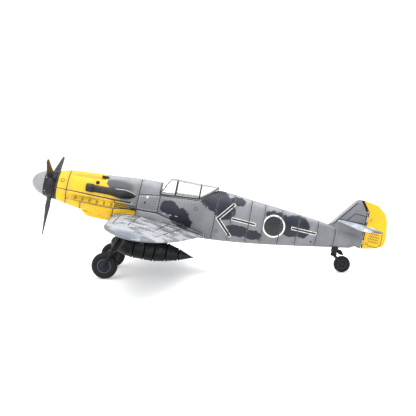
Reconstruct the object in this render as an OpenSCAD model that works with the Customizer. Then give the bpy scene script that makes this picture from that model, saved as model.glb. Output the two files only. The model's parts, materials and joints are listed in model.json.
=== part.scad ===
// Display model of a single-engine low-wing fighter, snapped together from moulded pieces.
// Millimetres. +Z up, nose toward -X, port side toward -Y, standing on its three wheels.
// The origin is on the ground, in the middle of the overall length and span.
// Pieces are drawn in an aircraft frame: x is the distance aft of the spinner tip along the
// thrust line, y is to starboard and z is the height over the thrust line. stand() then
// tilts that frame until all three wheels touch the ground.

/* [Overall] */
// Wing span
wing_span = 206.6; // [170:0.2:250]
// Fuselage length from the rear cockpit bulkhead to the rudder post
tail_length = 76.2; // [62:0.2:92]
// Fuselage width at the cockpit
body_width = 18; // [16:0.5:20]
// Wall of the fuselage and upper wing shells
shell_wall = 1.1; // [0.8:0.1:1.3]

/* [Propeller] */
// Propeller diameter
prop_d = 54; // [44:1:64]
// Widest chord of a blade
blade_chord = 4.8; // [4:0.2:6.4]
// Spinner length, tip to rear face
spinner_length = 12.6; // [11:0.2:12.8]
// Spinner diameter at its rear face
spinner_d = 14.5; // [13:0.5:14.5]
// Propeller shaft diameter
shaft_d = 2.4; // [1.6:0.2:3.2]

/* [Wing] */
// Chord at the wing root
root_chord = 48.1; // [40:0.1:50]
// Chord near the wing tip
tip_chord = 25; // [16:0.5:34]
// Sweep of the leading edge from root to tip
tip_setback = 5.5; // [0:0.5:10]
// Thickness at the wing root
root_thickness = 6.1; // [4.5:0.1:7]
// Thickness near the wing tip
tip_thickness = 2.6; // [2:0.1:4]
// Upward tilt of each wing
dihedral = 3; // [0:0.5:6.5]

/* [Canopy] */
// Height of the canopy top over the thrust line
canopy_top = 15.2; // [14:0.1:17]
// Length of the opening hood
hood_length = 12.3; // [9:0.05:13]
// Thickness of the clear mouldings
glass_wall = 0.8; // [0.5:0.1:1]

/* [Tail] */
// Height of the fin top over the thrust line
fin_top = 23.8; // [19:0.2:28]
// Span of the tailplanes
tail_span = 62; // [50:1:76]
// Chord of a tailplane at its root
tail_chord = 19.4; // [15:0.2:21]
// Rudder hinge wire diameter
hinge_wire = 0.7; // [0.5:0.1:0.9]

/* [Undercarriage] */
// Main wheel diameter
wheel_d = 13; // [10.5:0.1:15]
// Main wheel width
wheel_w = 5; // [3.5:0.5:6]
// Distance between the main wheel centres
wheel_track = 38; // [34:0.5:44]
// Depth of the main axles under the thrust line
axle_drop = 32.6; // [29:0.2:37]
// Axle diameter of the main wheels
axle_d = 1.6; // [1:0.1:2.2]
// Tail wheel diameter
tail_wheel_d = 8.6; // [7:0.2:9.4]
// Depth of the tail wheel axle under the thrust line
tail_axle_drop = 10.7; // [10:0.1:12.5]

/* [Drop tank] */
// Tank diameter
tank_d = 12; // [9:0.5:13]
// Tank length
tank_length = 43.3; // [36:0.1:50]
// Depth of the tank axis under the thrust line
tank_drop = 22.2; // [21:0.1:24]

/* [Fits] */
// Radial clearance of a turning fit
running = 0.05; // [0.02:0.01:0.08]
// Gap between pieces that rest on each other
seat = 0.06; // [0.04:0.01:0.1]
// Gap between a moving piece and what it passes
pass = 0.3; // [0.25:0.05:0.4]

/* [Hidden] */
$fn = 48;

half_span = wing_span / 2;
width_scale = body_width / 18;
// Stations along the body
nose_x = 12.9;
bulkhead_x = 65.7;
hood_x = 73.3;
hood_end_x = hood_x + hood_length;
deck_x = 96;
post_x = deck_x + tail_length;
// Side profile: height of the deck and of the keel, half the width, and how square the
// section is over and under its widest line, where 2 is an ellipse
deck_line = [[nose_x, 7.3], [19, 9.1], [37.5, 10.5], [56, 12.1], [65.5, 12.4], [deck_x, 14],
             [aft(0.22), 12.6], [aft(0.45), 11], [aft(0.69), 9], [aft(0.8), 7.7], [post_x, 6]];
keel_line = [[nose_x, -7.3], [19, -8.4], [27, -9.7], [35, -11.3], [43, -12], [90, -12],
             [aft(0.15), -10.7], [aft(0.31), -9.2], [aft(0.55), -6.5], [aft(0.81), -3.2],
             [post_x, -0.8]];
width_line = [[nose_x, 7.25], [19, 7.9], [30, 8.5], [56, 9], [90, 9], [aft(0.22), 7.6],
              [aft(0.45), 5.9], [aft(0.69), 3.9], [aft(0.84), 2.6], [post_x, 1.3]];
square_over = [[nose_x, 2], [30, 2.05], [56, 1.85], [deck_x, 1.8], [post_x, 2]];
square_under = [[nose_x, 2], [30, 2.3], [60, 2.4], [100, 2.3], [post_x, 2]];
// Cockpit sill: level along the hood, then rising to the deck behind it
sill_line = [[bulkhead_x, 6.5], [86, 8], [94.6, 13.95]];
sill_tilt = atan2(sill_line[1][1] - sill_line[0][1], sill_line[1][0] - sill_line[0][0]);
// Fin
fin_half = 1.1;
fin_x = post_x - 19;
fin_line = [[fin_x, 7.7], [post_x - 7.5, fin_top - 1], [post_x - 5.6, fin_top],
            [post_x - 3.9, fin_top], [post_x, fin_top - 5.5]];
rudder_x = post_x + pass + fin_half;
// Wing
wing_x = 43.5;
wing_z = -10.4;
root_y = 6;
tip_y = half_span - 38;
upper_share = 0.62;
edge_half = 0.3;
foil_points = 15;
// Canopy
canopy_top_half = 4.4;
screen_end_x = hood_x - 0.1;
// The hood's front edge moves forward as it swings up, because its hinge line follows the sill
hood_front_x = hood_x + 0.3;
hood_rear_x = hood_end_x - 0.15;
hood_lift = 0.12;
knuckle_d = 1.5;
hinge_lift = knuckle_d / 2;
hinge_y = body_y(hood_x, lookup(hood_x, sill_line)) + knuckle_d / 2 + 0.25;
pin_d = 0.7;
// Undercarriage
wheel_x = 46.3;
leg_top = [53, -12.6, wing_z - 1.9];
leg_y = -(wheel_track - wheel_w) / 2 + 1.5;
tail_wheel_x = post_x - 7.5;
swivel_x = tail_wheel_x - 5.2;
swivel_d = 1.8;
tail_axle_d = 1;
tail_wheel_w = 3;
// Propeller
blade_x = 10;
blade_count = 3;
shank_d = 2.6;
cap_length = 5.8;
ring_wall = 1;
// Drop tank
tank_x = 45.4;
tank_wall = 1.2;

// Attitude on the ground, from the two axle heights
reach = tail_wheel_x - wheel_x;
drop_step = axle_drop - tail_axle_drop;
stance = atan2(drop_step, reach)
       + asin((wheel_d - tail_wheel_d) / 2 / norm([reach, drop_step]));
lift = wheel_d / 2 + wheel_x * sin(stance) + axle_drop * cos(stance);
// Where the tilted spinner and rudder end
nose_end = spinner_length * cos(stance)
         - norm([spinner_length * cos(stance), spinner_d / 2 * sin(stance)]);
tail_end = max([for (p = rudder_outline()) p[0] * cos(stance) + p[1] * sin(stance)]);
shift = -(nose_end + tail_end) / 2;

// ---- helpers ----

function clamp(v, low, high) = min(high, max(low, v));
function lerp(a, b, t) = a + (b - a) * t;
// A station on the tail boom, from 0 at the rear bulkhead to 1 at the rudder post
function aft(t) = deck_x + tail_length * t;
function segment(line, x, i = 0) =
    i >= len(line) - 2 || x < line[i + 1][0] ? i : segment(line, x, i + 1);
function slope(line, i) =
    let (a = line[max(0, i - 1)], b = line[min(len(line) - 1, i + 1)])
    (b[1] - a[1]) / (b[0] - a[0]);
// A list of numbers from the lowest to the highest
function in_order(list) =
    len(list) < 2 ? list
    : let (pivot = list[floor(len(list) / 2)])
      concat(in_order([for (v = list) if (v < pivot) v]), [pivot],
             in_order([for (v = list) if (v > pivot) v]));
// Smooth curve through a list of [x, value]
function smooth(line, x) =
    let (i = segment(line, x), a = line[i], b = line[i + 1], step = b[0] - a[0],
         t = clamp((x - a[0]) / step, 0, 1),
         m0 = slope(line, i) * step, m1 = slope(line, i + 1) * step)
    (2 * t^3 - 3 * t^2 + 1) * a[1] + (t^3 - 2 * t^2 + t) * m0
    + (3 * t^2 - 2 * t^3) * b[1] + (t^3 - t^2) * m1;

// Closed skin through equal loops; a loop is a row of points and the same row back
module loft(loops, flip = false) {
    n = len(loops[0]);
    last = (len(loops) - 1) * n;
    points = [for (loop = loops) each loop];
    sides = [for (i = [0 : len(loops) - 2]) for (j = [0 : n - 1])
        let (a = i * n + j, b = i * n + (j + 1) % n) each [[a, b, b + n], [a, b + n, a + n]]];
    caps = [for (j = [0 : n / 2 - 2]) let (a = j, b = j + 1, c = n - 2 - j, d = n - 1 - j)
        each [[a, c, b], [a, d, c], [a + last, b + last, c + last], [a + last, c + last, d + last]]];
    faces = concat(sides, caps);
    polyhedron(points, flip ? [for (f = faces) [f[2], f[1], f[0]]] : faces, convexity = 8);
}

// Round bar between two points
module rod(a, b, r, extra = 0) {
    d = b - a;
    translate(a) rotate([0, acos(d[2] / norm(d)), atan2(d[1], d[0])])
        translate([0, 0, -extra]) cylinder(h = norm(d) + 2 * extra, r = r);
}

// Round bar along the body, from x0 to x1
module bar_x(x0, x1, y, z, r) {
    translate([x0, y, z]) rotate([0, 90, 0]) cylinder(h = x1 - x0, r = r);
}

// Round bar across the body, from y0 to y1
module bar_y(x, y0, y1, z, r) {
    translate([x, y0, z]) rotate([-90, 0, 0]) cylinder(h = y1 - y0, r = r);
}

module starboard() {
    mirror([0, 1, 0]) children();
}

// From the aircraft frame to the ground frame
module stand() {
    translate([shift, 0, lift]) rotate([0, stance, 0]) children();
}

// ---- fuselage ----

function body_mid(x) = (smooth(deck_line, x) + smooth(keel_line, x)) / 2;
function body_tall(x) = (smooth(deck_line, x) - smooth(keel_line, x)) / 2;
function body_half(x) = smooth(width_line, x) * width_scale;
function body_power(x, over) = smooth(over ? square_over : square_under, x);
// Half width of the body at a height
function body_y(x, z) =
    let (n = body_power(x, z > body_mid(x)), r = clamp(abs(z - body_mid(x)) / body_tall(x), 0, 1))
    body_half(x) * pow(1 - pow(r, n), 1 / n);
// Angle on the body's section that lies at a height
function angle_at(x, z, inset) =
    let (r = (z - body_mid(x)) / (body_tall(x) - inset), n = body_power(x, r > 0))
    sign(r) * asin(pow(clamp(abs(r), 0, 1), n / 2));
function section_point(x, angle, inset) =
    let (n = body_power(x, angle > 0))
    [x, -max(body_half(x) - inset, 0.2) * pow(abs(cos(angle)), 2 / n),
     body_mid(x) + (body_tall(x) - inset) * sign(sin(angle)) * pow(abs(sin(angle)), 2 / n)];
function over_cockpit(x) = x > bulkhead_x - 0.05 && x < sill_line[2][0] + 0.05;
function over_wing(x) = x > wing_x - 0.15 && x < wing_x + root_chord + 0.15;
// Height of the cut that the wing root fills
function wing_cut(x) =
    wing_z + seat + 0.2 + upper_height(clamp((x - wing_x) / root_chord, 0, 1), root_y);
function top_angle(x, inset) =
    over_cockpit(x) ? angle_at(x, lookup(x, sill_line), inset) : 90;
function bottom_angle(x, inset) = over_wing(x) ? angle_at(x, wing_cut(x), inset) : -90;
fin_steps = 5;
side_steps = 14;
function fin_join(x) = acos(pow(fin_half / body_half(x), body_power(x, true) / 2));
// A row of points down one side, from the top to the keel
function side_row(x, inset) =
    let (top = top_angle(x, inset), bottom = bottom_angle(x, inset),
         has_fin = x > fin_x + 0.1 && inset == 0,
         join = has_fin ? fin_join(x) : lerp(top, bottom, fin_steps / (fin_steps + side_steps)),
         crest = smooth_fin(x), foot = section_point(x, join, inset)[2])
    [for (i = [0 : fin_steps + side_steps])
        i >= fin_steps ? section_point(x, lerp(join, bottom, (i - fin_steps) / side_steps), inset)
        : has_fin ? [x, -fin_side(x) * (i == 0 ? 0 : lerp(0.55, 1, i / fin_steps)),
                     lerp(crest, foot, i / fin_steps)]
        : section_point(x, lerp(top, join, i / fin_steps), inset)];
function smooth_fin(x) = lookup(x, fin_line);
// The fin is thin at its leading edge
function fin_side(x) = fin_half * clamp(0.45 + (x - fin_x) / 12, 0.45, 1);
stations = in_order(concat(
    [nose_x, 16, 19, 23, 27, 31, 35, 39, wing_x - 0.2, wing_x - 0.1, wing_x + 0.6, wing_x + 2,
     wing_x + 4.5, 52, 56, 61,
     bulkhead_x - 0.15, bulkhead_x, 69.5, hood_x, 77.5, 82, 86, 89,
     wing_x + root_chord + 0.1, wing_x + root_chord + 0.2, 94.6, 94.75],
    [for (t = [0.06 : 0.11 : 0.72]) aft(t)],
    [fin_x, fin_x + 0.3, fin_x + 4, fin_x + 8, post_x - 7.5, post_x - 5.6, post_x - 3.9, post_x - 2,
     post_x]));
function shell_loop(x) =
    let (outer = side_row(x, 0), inner = side_row(x, shell_wall), n = len(inner))
    concat(outer, [for (i = [0 : n - 1]) inner[n - 1 - i]]);

module half_shell() {
    loft([for (x = stations) shell_loop(x)]);
}

module fuselage_left() {
    color("gray") half_shell();
}

module fuselage_right() {
    color("gray") starboard() half_shell();
}

// Plug in the open nose that carries the propeller shaft
module nose_bushing() {
    color("dimgray") difference() {
        union() {
            bar_x(nose_x + 1, nose_x + 4.6, 0, 0, 7.25 * width_scale - shell_wall - 0.25);
            bar_x(nose_x + 4.6, nose_x + 8, 0, 0, shaft_d / 2 + 1.4);
        }
        bar_x(nose_x, nose_x + 9, 0, 0, shaft_d / 2 + running);
    }
}

// Oil cooler scoop under the nose
module chin_intake() {
    lip = [1, 8, 2.2];
    rear = [3.6, 6.8, 1.2];
    brow = [1, 5.2, 0.4];
    mouth = [8.5, 5.6, 1.5];
    color("gold") difference() {
        hull() {
            translate([30.9, -lip[1] / 2, -12]) cube(lip);
            translate([39.5, -rear[1] / 2, -12.3]) cube(rear);
            translate([27.8, -brow[1] / 2, -9.9]) cube(brow);
        }
        translate([30, -mouth[1] / 2, -11.75]) cube(mouth);
    }
}

// Air intake on the port side of the cowling
module supercharger_intake() {
    long = 25.5;
    intake_r = 2.2;
    color("dimgray") translate([27.2, -body_y(34, 2.9) - 0.55, 2.9]) rotate([0, 90, -1.1])
        rotate_extrude() polygon(concat(
            [[intake_r * 0.55, 0.6], [intake_r * 0.9, 0]],
            [for (t = [0 : 0.125 : 1]) [lerp(intake_r, 0.5, pow(t, 1.6)), lerp(1.2, long, t)]],
            [[0, long], [0, 5], [intake_r * 0.55, 4.2]]));
}

// Six exhaust stubs on one flange
module exhaust_row() {
    pitch = 3.7;
    stub_r = 1.15;
    flange = [23.4, 0.9, 2.9];
    turn = atan2(body_y(41.7, -3.4) - body_y(23.2, -3.4), 18.5);
    translate([23.2, -body_y(23.2, -3.4), -3.4]) rotate([0, 0, -turn]) {
        translate([-2.2, -0.3, -flange[2] / 2]) cube(flange);
        for (i = [0 : 5])
            translate([i * pitch - 0.9, 0.2, 0]) rotate([-90, 0, 58]) difference() {
                translate([0, 0, -2.6]) cylinder(h = 3, r = stub_r);
                translate([0, 0, -2.7]) cylinder(h = 1.3, r = stub_r - 0.4);
            }
    }
}

module exhaust_left() {
    color("olive") exhaust_row();
}

module exhaust_right() {
    color("olive") starboard() exhaust_row();
}

module cowl_gun() {
    gun_y = 4.2;
    gun_z = 9.35;
    difference() {
        bar_x(32, 38, -gun_y, gun_z, 0.65);
        bar_x(31, 33.5, -gun_y, gun_z, 0.3);
    }
}

module cowl_gun_left() {
    color("black") cowl_gun();
}

module cowl_gun_right() {
    color("black") starboard() cowl_gun();
}

// ---- wing ----

// Aerofoil height from 0 at the edges to 1 at its thickest point
function foil(t) =
    10 * (0.2969 * sqrt(t) - 0.126 * t - 0.3516 * t^2 + 0.2843 * t^3 - 0.1036 * t^4);
function span_share(y) = clamp((abs(y) - root_y) / (half_span - root_y), 0, 1);
// The rounding of the wing tip, 1 inboard and near 0 at the very tip
function tip_round(y) =
    sqrt(1 - pow(clamp((abs(y) - tip_y) / (half_span - tip_y), 0, 1) * 0.985, 2));
function wing_chord(y) = lerp(root_chord, tip_chord, span_share(y));
function wing_lead(y) =
    wing_x + tip_setback * span_share(y) + 0.62 * wing_chord(y) * (1 - tip_round(y));
function wing_thick(y) =
    lerp(root_thickness, tip_thickness, span_share(y)) * sqrt(tip_round(y));
function wing_plane(y) = wing_z + max(0, abs(y) - root_y) * tan(dihedral);
function upper_height(t, y) =
    edge_half + max(0, wing_thick(y) * upper_share - edge_half) * foil(t);
function lower_depth(t, y) =
    edge_half + max(0, wing_thick(y) * (1 - upper_share) - edge_half) * foil(t);
// Depth of the lower skin under the chord plane at a place on the wing
function wing_under(x, y) = lower_depth(clamp((x - wing_lead(y)) / wing_chord(y), 0, 1), y);
function foil_share(i) = (1 - cos(180 * i / (foil_points - 1))) / 2;
function wing_at(y, i) = wing_lead(y) + wing_chord(y) * tip_round(y) * foil_share(i);
// Under the body the lower panel takes the body's own belly line
function belly_depth(x, y) =
    let (n = body_power(x, false), r = clamp(abs(y) / body_half(x), 0, 1))
    wing_z - (body_mid(x) - body_tall(x) * pow(1 - pow(r, n), 1 / n));
function panel_depth(y, i) =
    let (plain = lower_depth(foil_share(i), y))
    abs(y) < root_y ? max(plain, belly_depth(wing_at(y, i), y)) : plain;
function lower_loop(y) =
    concat([for (i = [0 : foil_points - 1]) [wing_at(y, i), y, wing_plane(y) - panel_depth(y, i)]],
           [for (i = [foil_points - 1 : -1 : 0]) [wing_at(y, i), y, wing_plane(y)]]);
// The upper panel is hollow underneath
function upper_loop(y) =
    concat([for (i = [0 : foil_points - 1])
                [wing_at(y, i), y, wing_plane(y) + seat + upper_height(foil_share(i), y)]],
           [for (i = [foil_points - 1 : -1 : 0])
                [wing_at(y, i), y, wing_plane(y) + seat
                 + max(0, upper_height(foil_share(i), y) - shell_wall)]]);
tip_shares = [0.15, 0.3, 0.45, 0.58, 0.7, 0.8, 0.88, 0.94, 0.98, 1];
panel_rows = concat([for (t = [0 : 0.25 : 1]) lerp(root_y, tip_y, t)],
                    [for (t = tip_shares) lerp(tip_y, half_span, t)]);

module upper_panel() {
    loft([for (y = panel_rows) upper_loop(-y)]);
}

module wing_upper_left() {
    color("lightgray") upper_panel();
}

module wing_upper_right() {
    color("lightgray") starboard() upper_panel();
}

// One full-span lower panel that carries the belly between the roots
module wing_lower() {
    middle = [-5.9, -4.5, -2.5, 0, 2.5, 4.5, 5.9];
    n = len(panel_rows);
    rows = concat([for (i = [n - 1 : -1 : 0]) -panel_rows[i]], middle, panel_rows);
    color("lightsteelblue") loft([for (y = rows) lower_loop(y)]);
}

// Underwing radiator bath, open at its front
module radiator() {
    x = 69;
    long = 13;
    wide = 15;
    root = 13.5;
    bite = 0.3;
    front = -wing_under(x, root);
    rear = -wing_under(x + long, root);
    translate([0, -root, wing_plane(root)]) rotate([-dihedral, 0, 0]) difference() {
        rotate([90, 0, 0]) linear_extrude(wide)
            polygon([[x, front + bite], [x, front - 2.5], [x + long * 0.7, front - 1.9],
                     [x + long, rear - 0.3], [x + long, rear + bite]]);
        translate([x - 1, 1 - wide, front - 2]) cube([9, wide - 2, 1.4]);
    }
}

module radiator_left() {
    color("slategray") radiator();
}

module radiator_right() {
    color("slategray") starboard() radiator();
}

// ---- cockpit ----

tub_half = 5.8 * width_scale;
tub_z = -5;

module cockpit_tub() {
    long = 25;
    color("dimgray") translate([67, -tub_half, tub_z]) difference() {
        cube([long, 2 * tub_half, 8]);
        translate([0.8, 0.8, 0.8]) cube([long - 1.6, 2 * tub_half - 1.6, 8]);
    }
}

module pilot_seat() {
    seat_half = 3;
    color("gray") translate([79, -seat_half, tub_z + 0.8 + seat]) {
        cube([6, 2 * seat_half, 1.6]);
        translate([5.2, 0, 0.3]) rotate([0, 10, 0]) cube([1, 2 * seat_half, 6.8]);
    }
}

module instrument_panel() {
    wide = 2 * tub_half - 2.2;
    color("black") translate([68.6, -wide / 2, tub_z + 3]) cube([1, wide, 6.4]);
}

module control_stick() {
    color("black") {
        translate([75.5, 0, tub_z + 0.8 + seat]) cylinder(h = 0.8, r = 1);
        rod([75.5, 0, tub_z + 1], [74.7, 0, tub_z + 5.6], 0.35);
        rod([74.7, 0, tub_z + 5.4], [74.5, 0, tub_z + 7], 0.6);
    }
}

// ---- canopy ----

// A strip over the cockpit at one station, from the port sill over the top to starboard
function glass_row(x, foot, foot_half, top, top_half, inset) =
    let (fh = foot_half - inset, th = top_half - inset, tz = top - inset,
         side = [[x, -fh, foot], [x, -lerp(fh, th, 0.3) - 0.25, lerp(foot, tz, 0.38)],
                 [x, -lerp(fh, th, 0.78) - 0.2, lerp(foot, tz, 0.8)], [x, -th, tz - 0.25],
                 [x, -th * 0.5, tz]])
    concat(side, [for (i = [len(side) - 1 : -1 : 0]) [x, -side[i][1], side[i][2]]]);
function glass_loop(x, foot, top, top_half) =
    let (foot_half = body_y(x, foot) - 0.05,
         outer = glass_row(x, foot, foot_half, top, top_half, 0),
         inner = glass_row(x, foot, foot_half, top, top_half, glass_wall), n = len(inner))
    concat(outer, [for (i = [n - 1 : -1 : 0]) inner[i]]);
function sill(x) = lookup(x, sill_line) + seat;

module windscreen() {
    color("lightcyan", 0.5) loft([
        glass_loop(bulkhead_x + 0.1, sill(bulkhead_x), 11.9, 4.9),
        glass_loop(68, sill(68), lerp(11.9, canopy_top, 0.55), 4.7),
        glass_loop(70.2, sill(70.2), canopy_top, canopy_top_half),
        glass_loop(screen_end_x, sill(hood_x), canopy_top, canopy_top_half)]);
}

// Placed on the hood's hinge line: x along the sill, y out to starboard
module on_hinge() {
    translate([hood_x, hinge_y, lookup(hood_x, sill_line) + hinge_lift])
        rotate([0, -sill_tilt, 0]) children();
}

module canopy_hood() {
    lug = [2, 1.2, 0.7];
    color("lightcyan", 0.5) difference() {
        union() {
            loft([for (x = [hood_front_x, hood_rear_x])
                glass_loop(x, sill(x) + hood_lift, canopy_top, canopy_top_half)]);
            on_hinge() for (x = [2, hood_length - 4]) {
                translate([x, 0, 0]) rotate([0, 90, 0]) cylinder(h = lug[0], d = knuckle_d);
                translate([x, -1.9, -0.1]) cube([lug[0], 1.7, lug[2]]);
            }
        }
        on_hinge() translate([0.5, 0, 0]) rotate([0, 90, 0])
            cylinder(h = hood_length - 1, d = pin_d + 2 * running);
    }
}

// Wire and two end brackets on the starboard sill
module hood_hinge() {
    eye_d = 1;
    eye_w = 0.9;
    post = [eye_w, 0.8, 1.6];
    foot = [eye_w, 2, 1];
    color("dimgray") on_hinge() {
        translate([0.6, 0, 0]) rotate([0, 90, 0]) cylinder(h = hood_length - 1.4, d = pin_d);
        for (x = [0.5, hood_length - 1.7]) {
            translate([x, 0, 0]) rotate([0, 90, 0]) cylinder(h = eye_w, d = eye_d);
            translate([x, -post[1] / 2, -post[2]]) cube(post);
            translate([x, -1.6, -2.1]) cube(foot);
        }
    }
}

module rear_canopy() {
    front_x = hood_end_x + 0.15;
    back_x = 94.4;
    back_top = 15.5;
    back_top_half = 2.6;
    least_height = 1.2;
    color("lightcyan", 0.5) loft([
        for (t = [0 : 0.25 : 1])
            let (x = lerp(front_x, back_x, t), top = lerp(canopy_top, back_top, t))
            glass_loop(x, sill(x), max(top, sill(x) + least_height),
                       lerp(canopy_top_half, back_top_half, t))]);
}

// ---- tail ----

tail_z = 11;
tail_plate = 1.5;
function tailplane_outline() =
    let (lead = post_x - 14.4, rear = lead + tail_chord, tip = tail_span / 2, swing = 6)
    [[lead, 0.1], [post_x - 0.4, 0.1], [post_x - 0.4, 1.6], [rear, swing], [rear - 0.6, tip - 6],
     [rear - 2.5, tip - 1.6], [rear - 6.5, tip], [lead + 6.4, tip - 0.8], [lead + 4.6, tip - 3.2]];

module tailplane() {
    translate([0, 0, tail_z]) mirror([0, 1, 0]) linear_extrude(tail_plate, center = true)
        polygon(tailplane_outline());
}

module tailplane_left() {
    color("lightsteelblue") tailplane();
}

module tailplane_right() {
    color("lightsteelblue") starboard() tailplane();
}

// Side outline of the rudder, from its horn round the trailing edge to its foot
function rudder_outline() =
    let (front = post_x + pass)
    [[post_x - 3.6, fin_top + 0.1], [post_x + 4.7, fin_top - 1.2], [post_x + 9.1, fin_top - 4.6],
     [post_x + 10.6, fin_top - 7.8], [post_x + 11.4, fin_top - 11.4], [post_x + 12.1, 7.5],
     [post_x + 11.9, 4], [post_x + 10.8, 2], [post_x + 7, 0.4], [front, -0.9],
     [front, fin_top - 5.35]];
hinge_heights = [2.5, 14.5];
hinge_plate = 1.2;

module rudder() {
    edge = 0.35;
    color("gold") difference() {
        intersection() {
            translate([0, 2, 0]) rotate([90, 0, 0]) linear_extrude(4) polygon(rudder_outline());
            translate([0, 0, -3]) union() {
                linear_extrude(fin_top + 6) polygon([
                    [rudder_x, -fin_half], [post_x + 13, -edge], [post_x + 13, edge],
                    [rudder_x, fin_half]]);
                translate([rudder_x, 0, 0]) cylinder(h = fin_top + 6, r = fin_half);
                translate([post_x - 4, -0.6, fin_top - 3]) cube([rudder_x - post_x + 4, 1.2, 9]);
            }
        }
        for (z = hinge_heights) {
            translate([rudder_x, 0, z - hinge_plate / 2 - 0.2])
                cylinder(h = hinge_plate + 0.4, r = fin_half + pass);
        }
        translate([rudder_x, 0, -2]) cylinder(h = fin_top - 4, d = hinge_wire + 2 * running);
    }
}

// Two eyes on the fin post and the wire through them
module rudder_hinge() {
    color("dimgray") {
        for (z = hinge_heights)
            translate([0, 0, z - hinge_plate / 2]) {
                translate([post_x - 0.8, -0.4, 0]) cube([rudder_x - post_x + 0.8, 0.8, hinge_plate]);
                translate([rudder_x, 0, 0]) cylinder(h = hinge_plate, r = fin_half - 0.2);
            }
        translate([rudder_x, 0, -0.5]) cylinder(h = fin_top - 7, d = hinge_wire);
    }
}

// ---- propeller ----

// Spinner outline radius at a distance behind the tip
function spinner_r(x) = spinner_d / 2 * sqrt(1 - pow(1 - clamp(x / spinner_length, 0, 1), 2));
function spinner_arc(x0, x1, inset, steps) =
    [for (i = [0 : steps]) let (x = lerp(x0, x1, pow(i / steps, 1.6))) [spinner_r(x) - inset, x]];

module spun(points) {
    rotate([0, 90, 0]) rotate_extrude() polygon(points);
}

module spinner_cap() {
    color("silver") spun(concat(
        [for (p = spinner_arc(0, cap_length, 0, 14)) p],
        [[spinner_r(cap_length) - ring_wall, cap_length], [0, cap_length]]));
}

module spinner_ring() {
    rear = spinner_length - 0.9;
    color("black") difference() {
        spun(concat(
            spinner_arc(cap_length + seat, rear, 0, 8),
            [[spinner_r(rear) - ring_wall, rear],
             [spinner_r(cap_length) - ring_wall, cap_length + seat]]));
        for (i = [0 : blade_count - 1])
            translate([blade_x, 0, 0]) rotate([i * 360 / blade_count, 0, 0])
                translate([0, 0, -spinner_d]) cylinder(h = spinner_d, d = shank_d + 2 * seat);
    }
}

module spinner_backplate() {
    color("black") difference() {
        bar_x(spinner_length - 0.9 + seat, spinner_length, 0, 0, spinner_d / 2);
        bar_x(spinner_length - 2, spinner_length + 1, 0, 0, shaft_d / 2);
    }
}

blade_root = spinner_d / 2 + pass;

// One blade along -Z, flat side set at its pitch angle
module blade() {
    tip = prop_d / 2;
    rows = 9;
    sides = 5;
    loft([for (k = [0 : rows])
        let (t = k / rows, r = lerp(blade_root, tip, t),
             chord = k == rows ? 0.5 : blade_chord * min(1, 0.6 + 2 * t) * (1 - 0.66 * t),
             thick = lerp(1.5, 0.5, t), pitch = lerp(128, 156, t))
        [for (j = [0 : 2 * sides - 1])
            let (a = 180 * (j + 0.5) / sides, c = chord / 2 * cos(a), h = thick / 2 * sin(a))
            [c * sin(pitch) + h * cos(pitch), c * cos(pitch) - h * sin(pitch), -r]]],
        flip = true);
}

module propeller_blades() {
    color("dimgray") difference() {
        union() {
            bar_x(cap_length + 2, spinner_length - 0.9, 0, 0, shaft_d / 2 + 1.3);
            translate([blade_x, 0, 0]) for (i = [0 : blade_count - 1])
                rotate([i * 360 / blade_count, 0, 0]) {
                    translate([0, 0, -blade_root - 1]) cylinder(h = blade_root + 1, d = shank_d);
                    blade();
                }
        }
        bar_x(0, spinner_length + 1, 0, 0, shaft_d / 2);
    }
}

module propeller_shaft() {
    color("silver") bar_x(cap_length + seat, nose_x + 12, 0, 0, shaft_d / 2);
}

// Press-on collar that keeps the shaft in its bushing
module shaft_retainer() {
    color("dimgray") difference() {
        bar_x(nose_x + 8 + pass, nose_x + 10.4, 0, 0, shaft_d / 2 + 1.2);
        bar_x(nose_x + 8, nose_x + 11, 0, 0, shaft_d / 2);
    }
}

// ---- undercarriage ----

leg_foot = [wheel_x, leg_y, -axle_drop];
leg_axis = leg_top - leg_foot;
leg_length = norm(leg_axis);

// Placed on the port leg: z up the leg from the axle, y outboard is negative
module on_leg() {
    translate(leg_foot) rotate([-asin(leg_axis[1] / leg_length), atan2(leg_axis[0], leg_axis[2]), 0])
        children();
}

module gear_leg() {
    sleeve = 0.42 * leg_length;
    difference() {
        union() {
            on_leg() {
                cylinder(h = leg_length, r = 0.85);
                translate([0, 0, sleeve]) cylinder(h = leg_length - sleeve, r = 1.3);
                translate([0, 0, sleeve]) cylinder(h = 1.2, r = 1.6);
                translate([0, 0, leg_length - 1.2]) cylinder(h = 1.6, r = 2.2);
                for (s = [0, 1]) translate([1.9, 0, sleeve - 1.6]) rotate([0, s ? -52 : 52, 0])
                    translate([-0.3, -0.5, s ? 0 : -3.4]) cube([0.6, 1, 3.4]);
            }
            bar_y(wheel_x, leg_y - 0.9, leg_y + 1.2, -axle_drop, axle_d / 2 + 0.8);
        }
        bar_y(wheel_x, leg_y - 2, leg_y + 2, -axle_drop, axle_d / 2);
    }
}

module gear_leg_left() {
    color("dimgray") gear_leg();
}

module gear_leg_right() {
    color("dimgray") starboard() gear_leg();
}

// Cover plate on the outboard face of a leg
module gear_door() {
    plate = 0.6;
    low = wheel_d / 2 + 0.8;
    on_leg() {
        translate([0, -1.3 - seat, 0]) rotate([90, 0, 0]) linear_extrude(plate)
            polygon([[-2.4, low + 1.5], [-1.4, low], [2.6, low], [3.6, low + 1.5],
                     [4.4, leg_length - 2], [-2.8, leg_length - 2]]);
        for (z = [low + 4, leg_length - 4.5])
            translate([-0.6, -1.5, z]) cube([1.2, 0.9, 1]);
    }
}

module gear_door_left() {
    color("slategray") gear_door();
}

module gear_door_right() {
    color("slategray") starboard() gear_door();
}

wheel_y = -wheel_track / 2;

// Headed axle pressed into the leg
module axle() {
    out = wheel_y - wheel_w / 2 - 0.25;
    bar_y(wheel_x, out, leg_y + 1.2, -axle_drop, axle_d / 2);
    bar_y(wheel_x, out - 0.5, out, -axle_drop, axle_d / 2 + 0.5);
}

module axle_left() {
    color("silver") axle();
}

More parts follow.
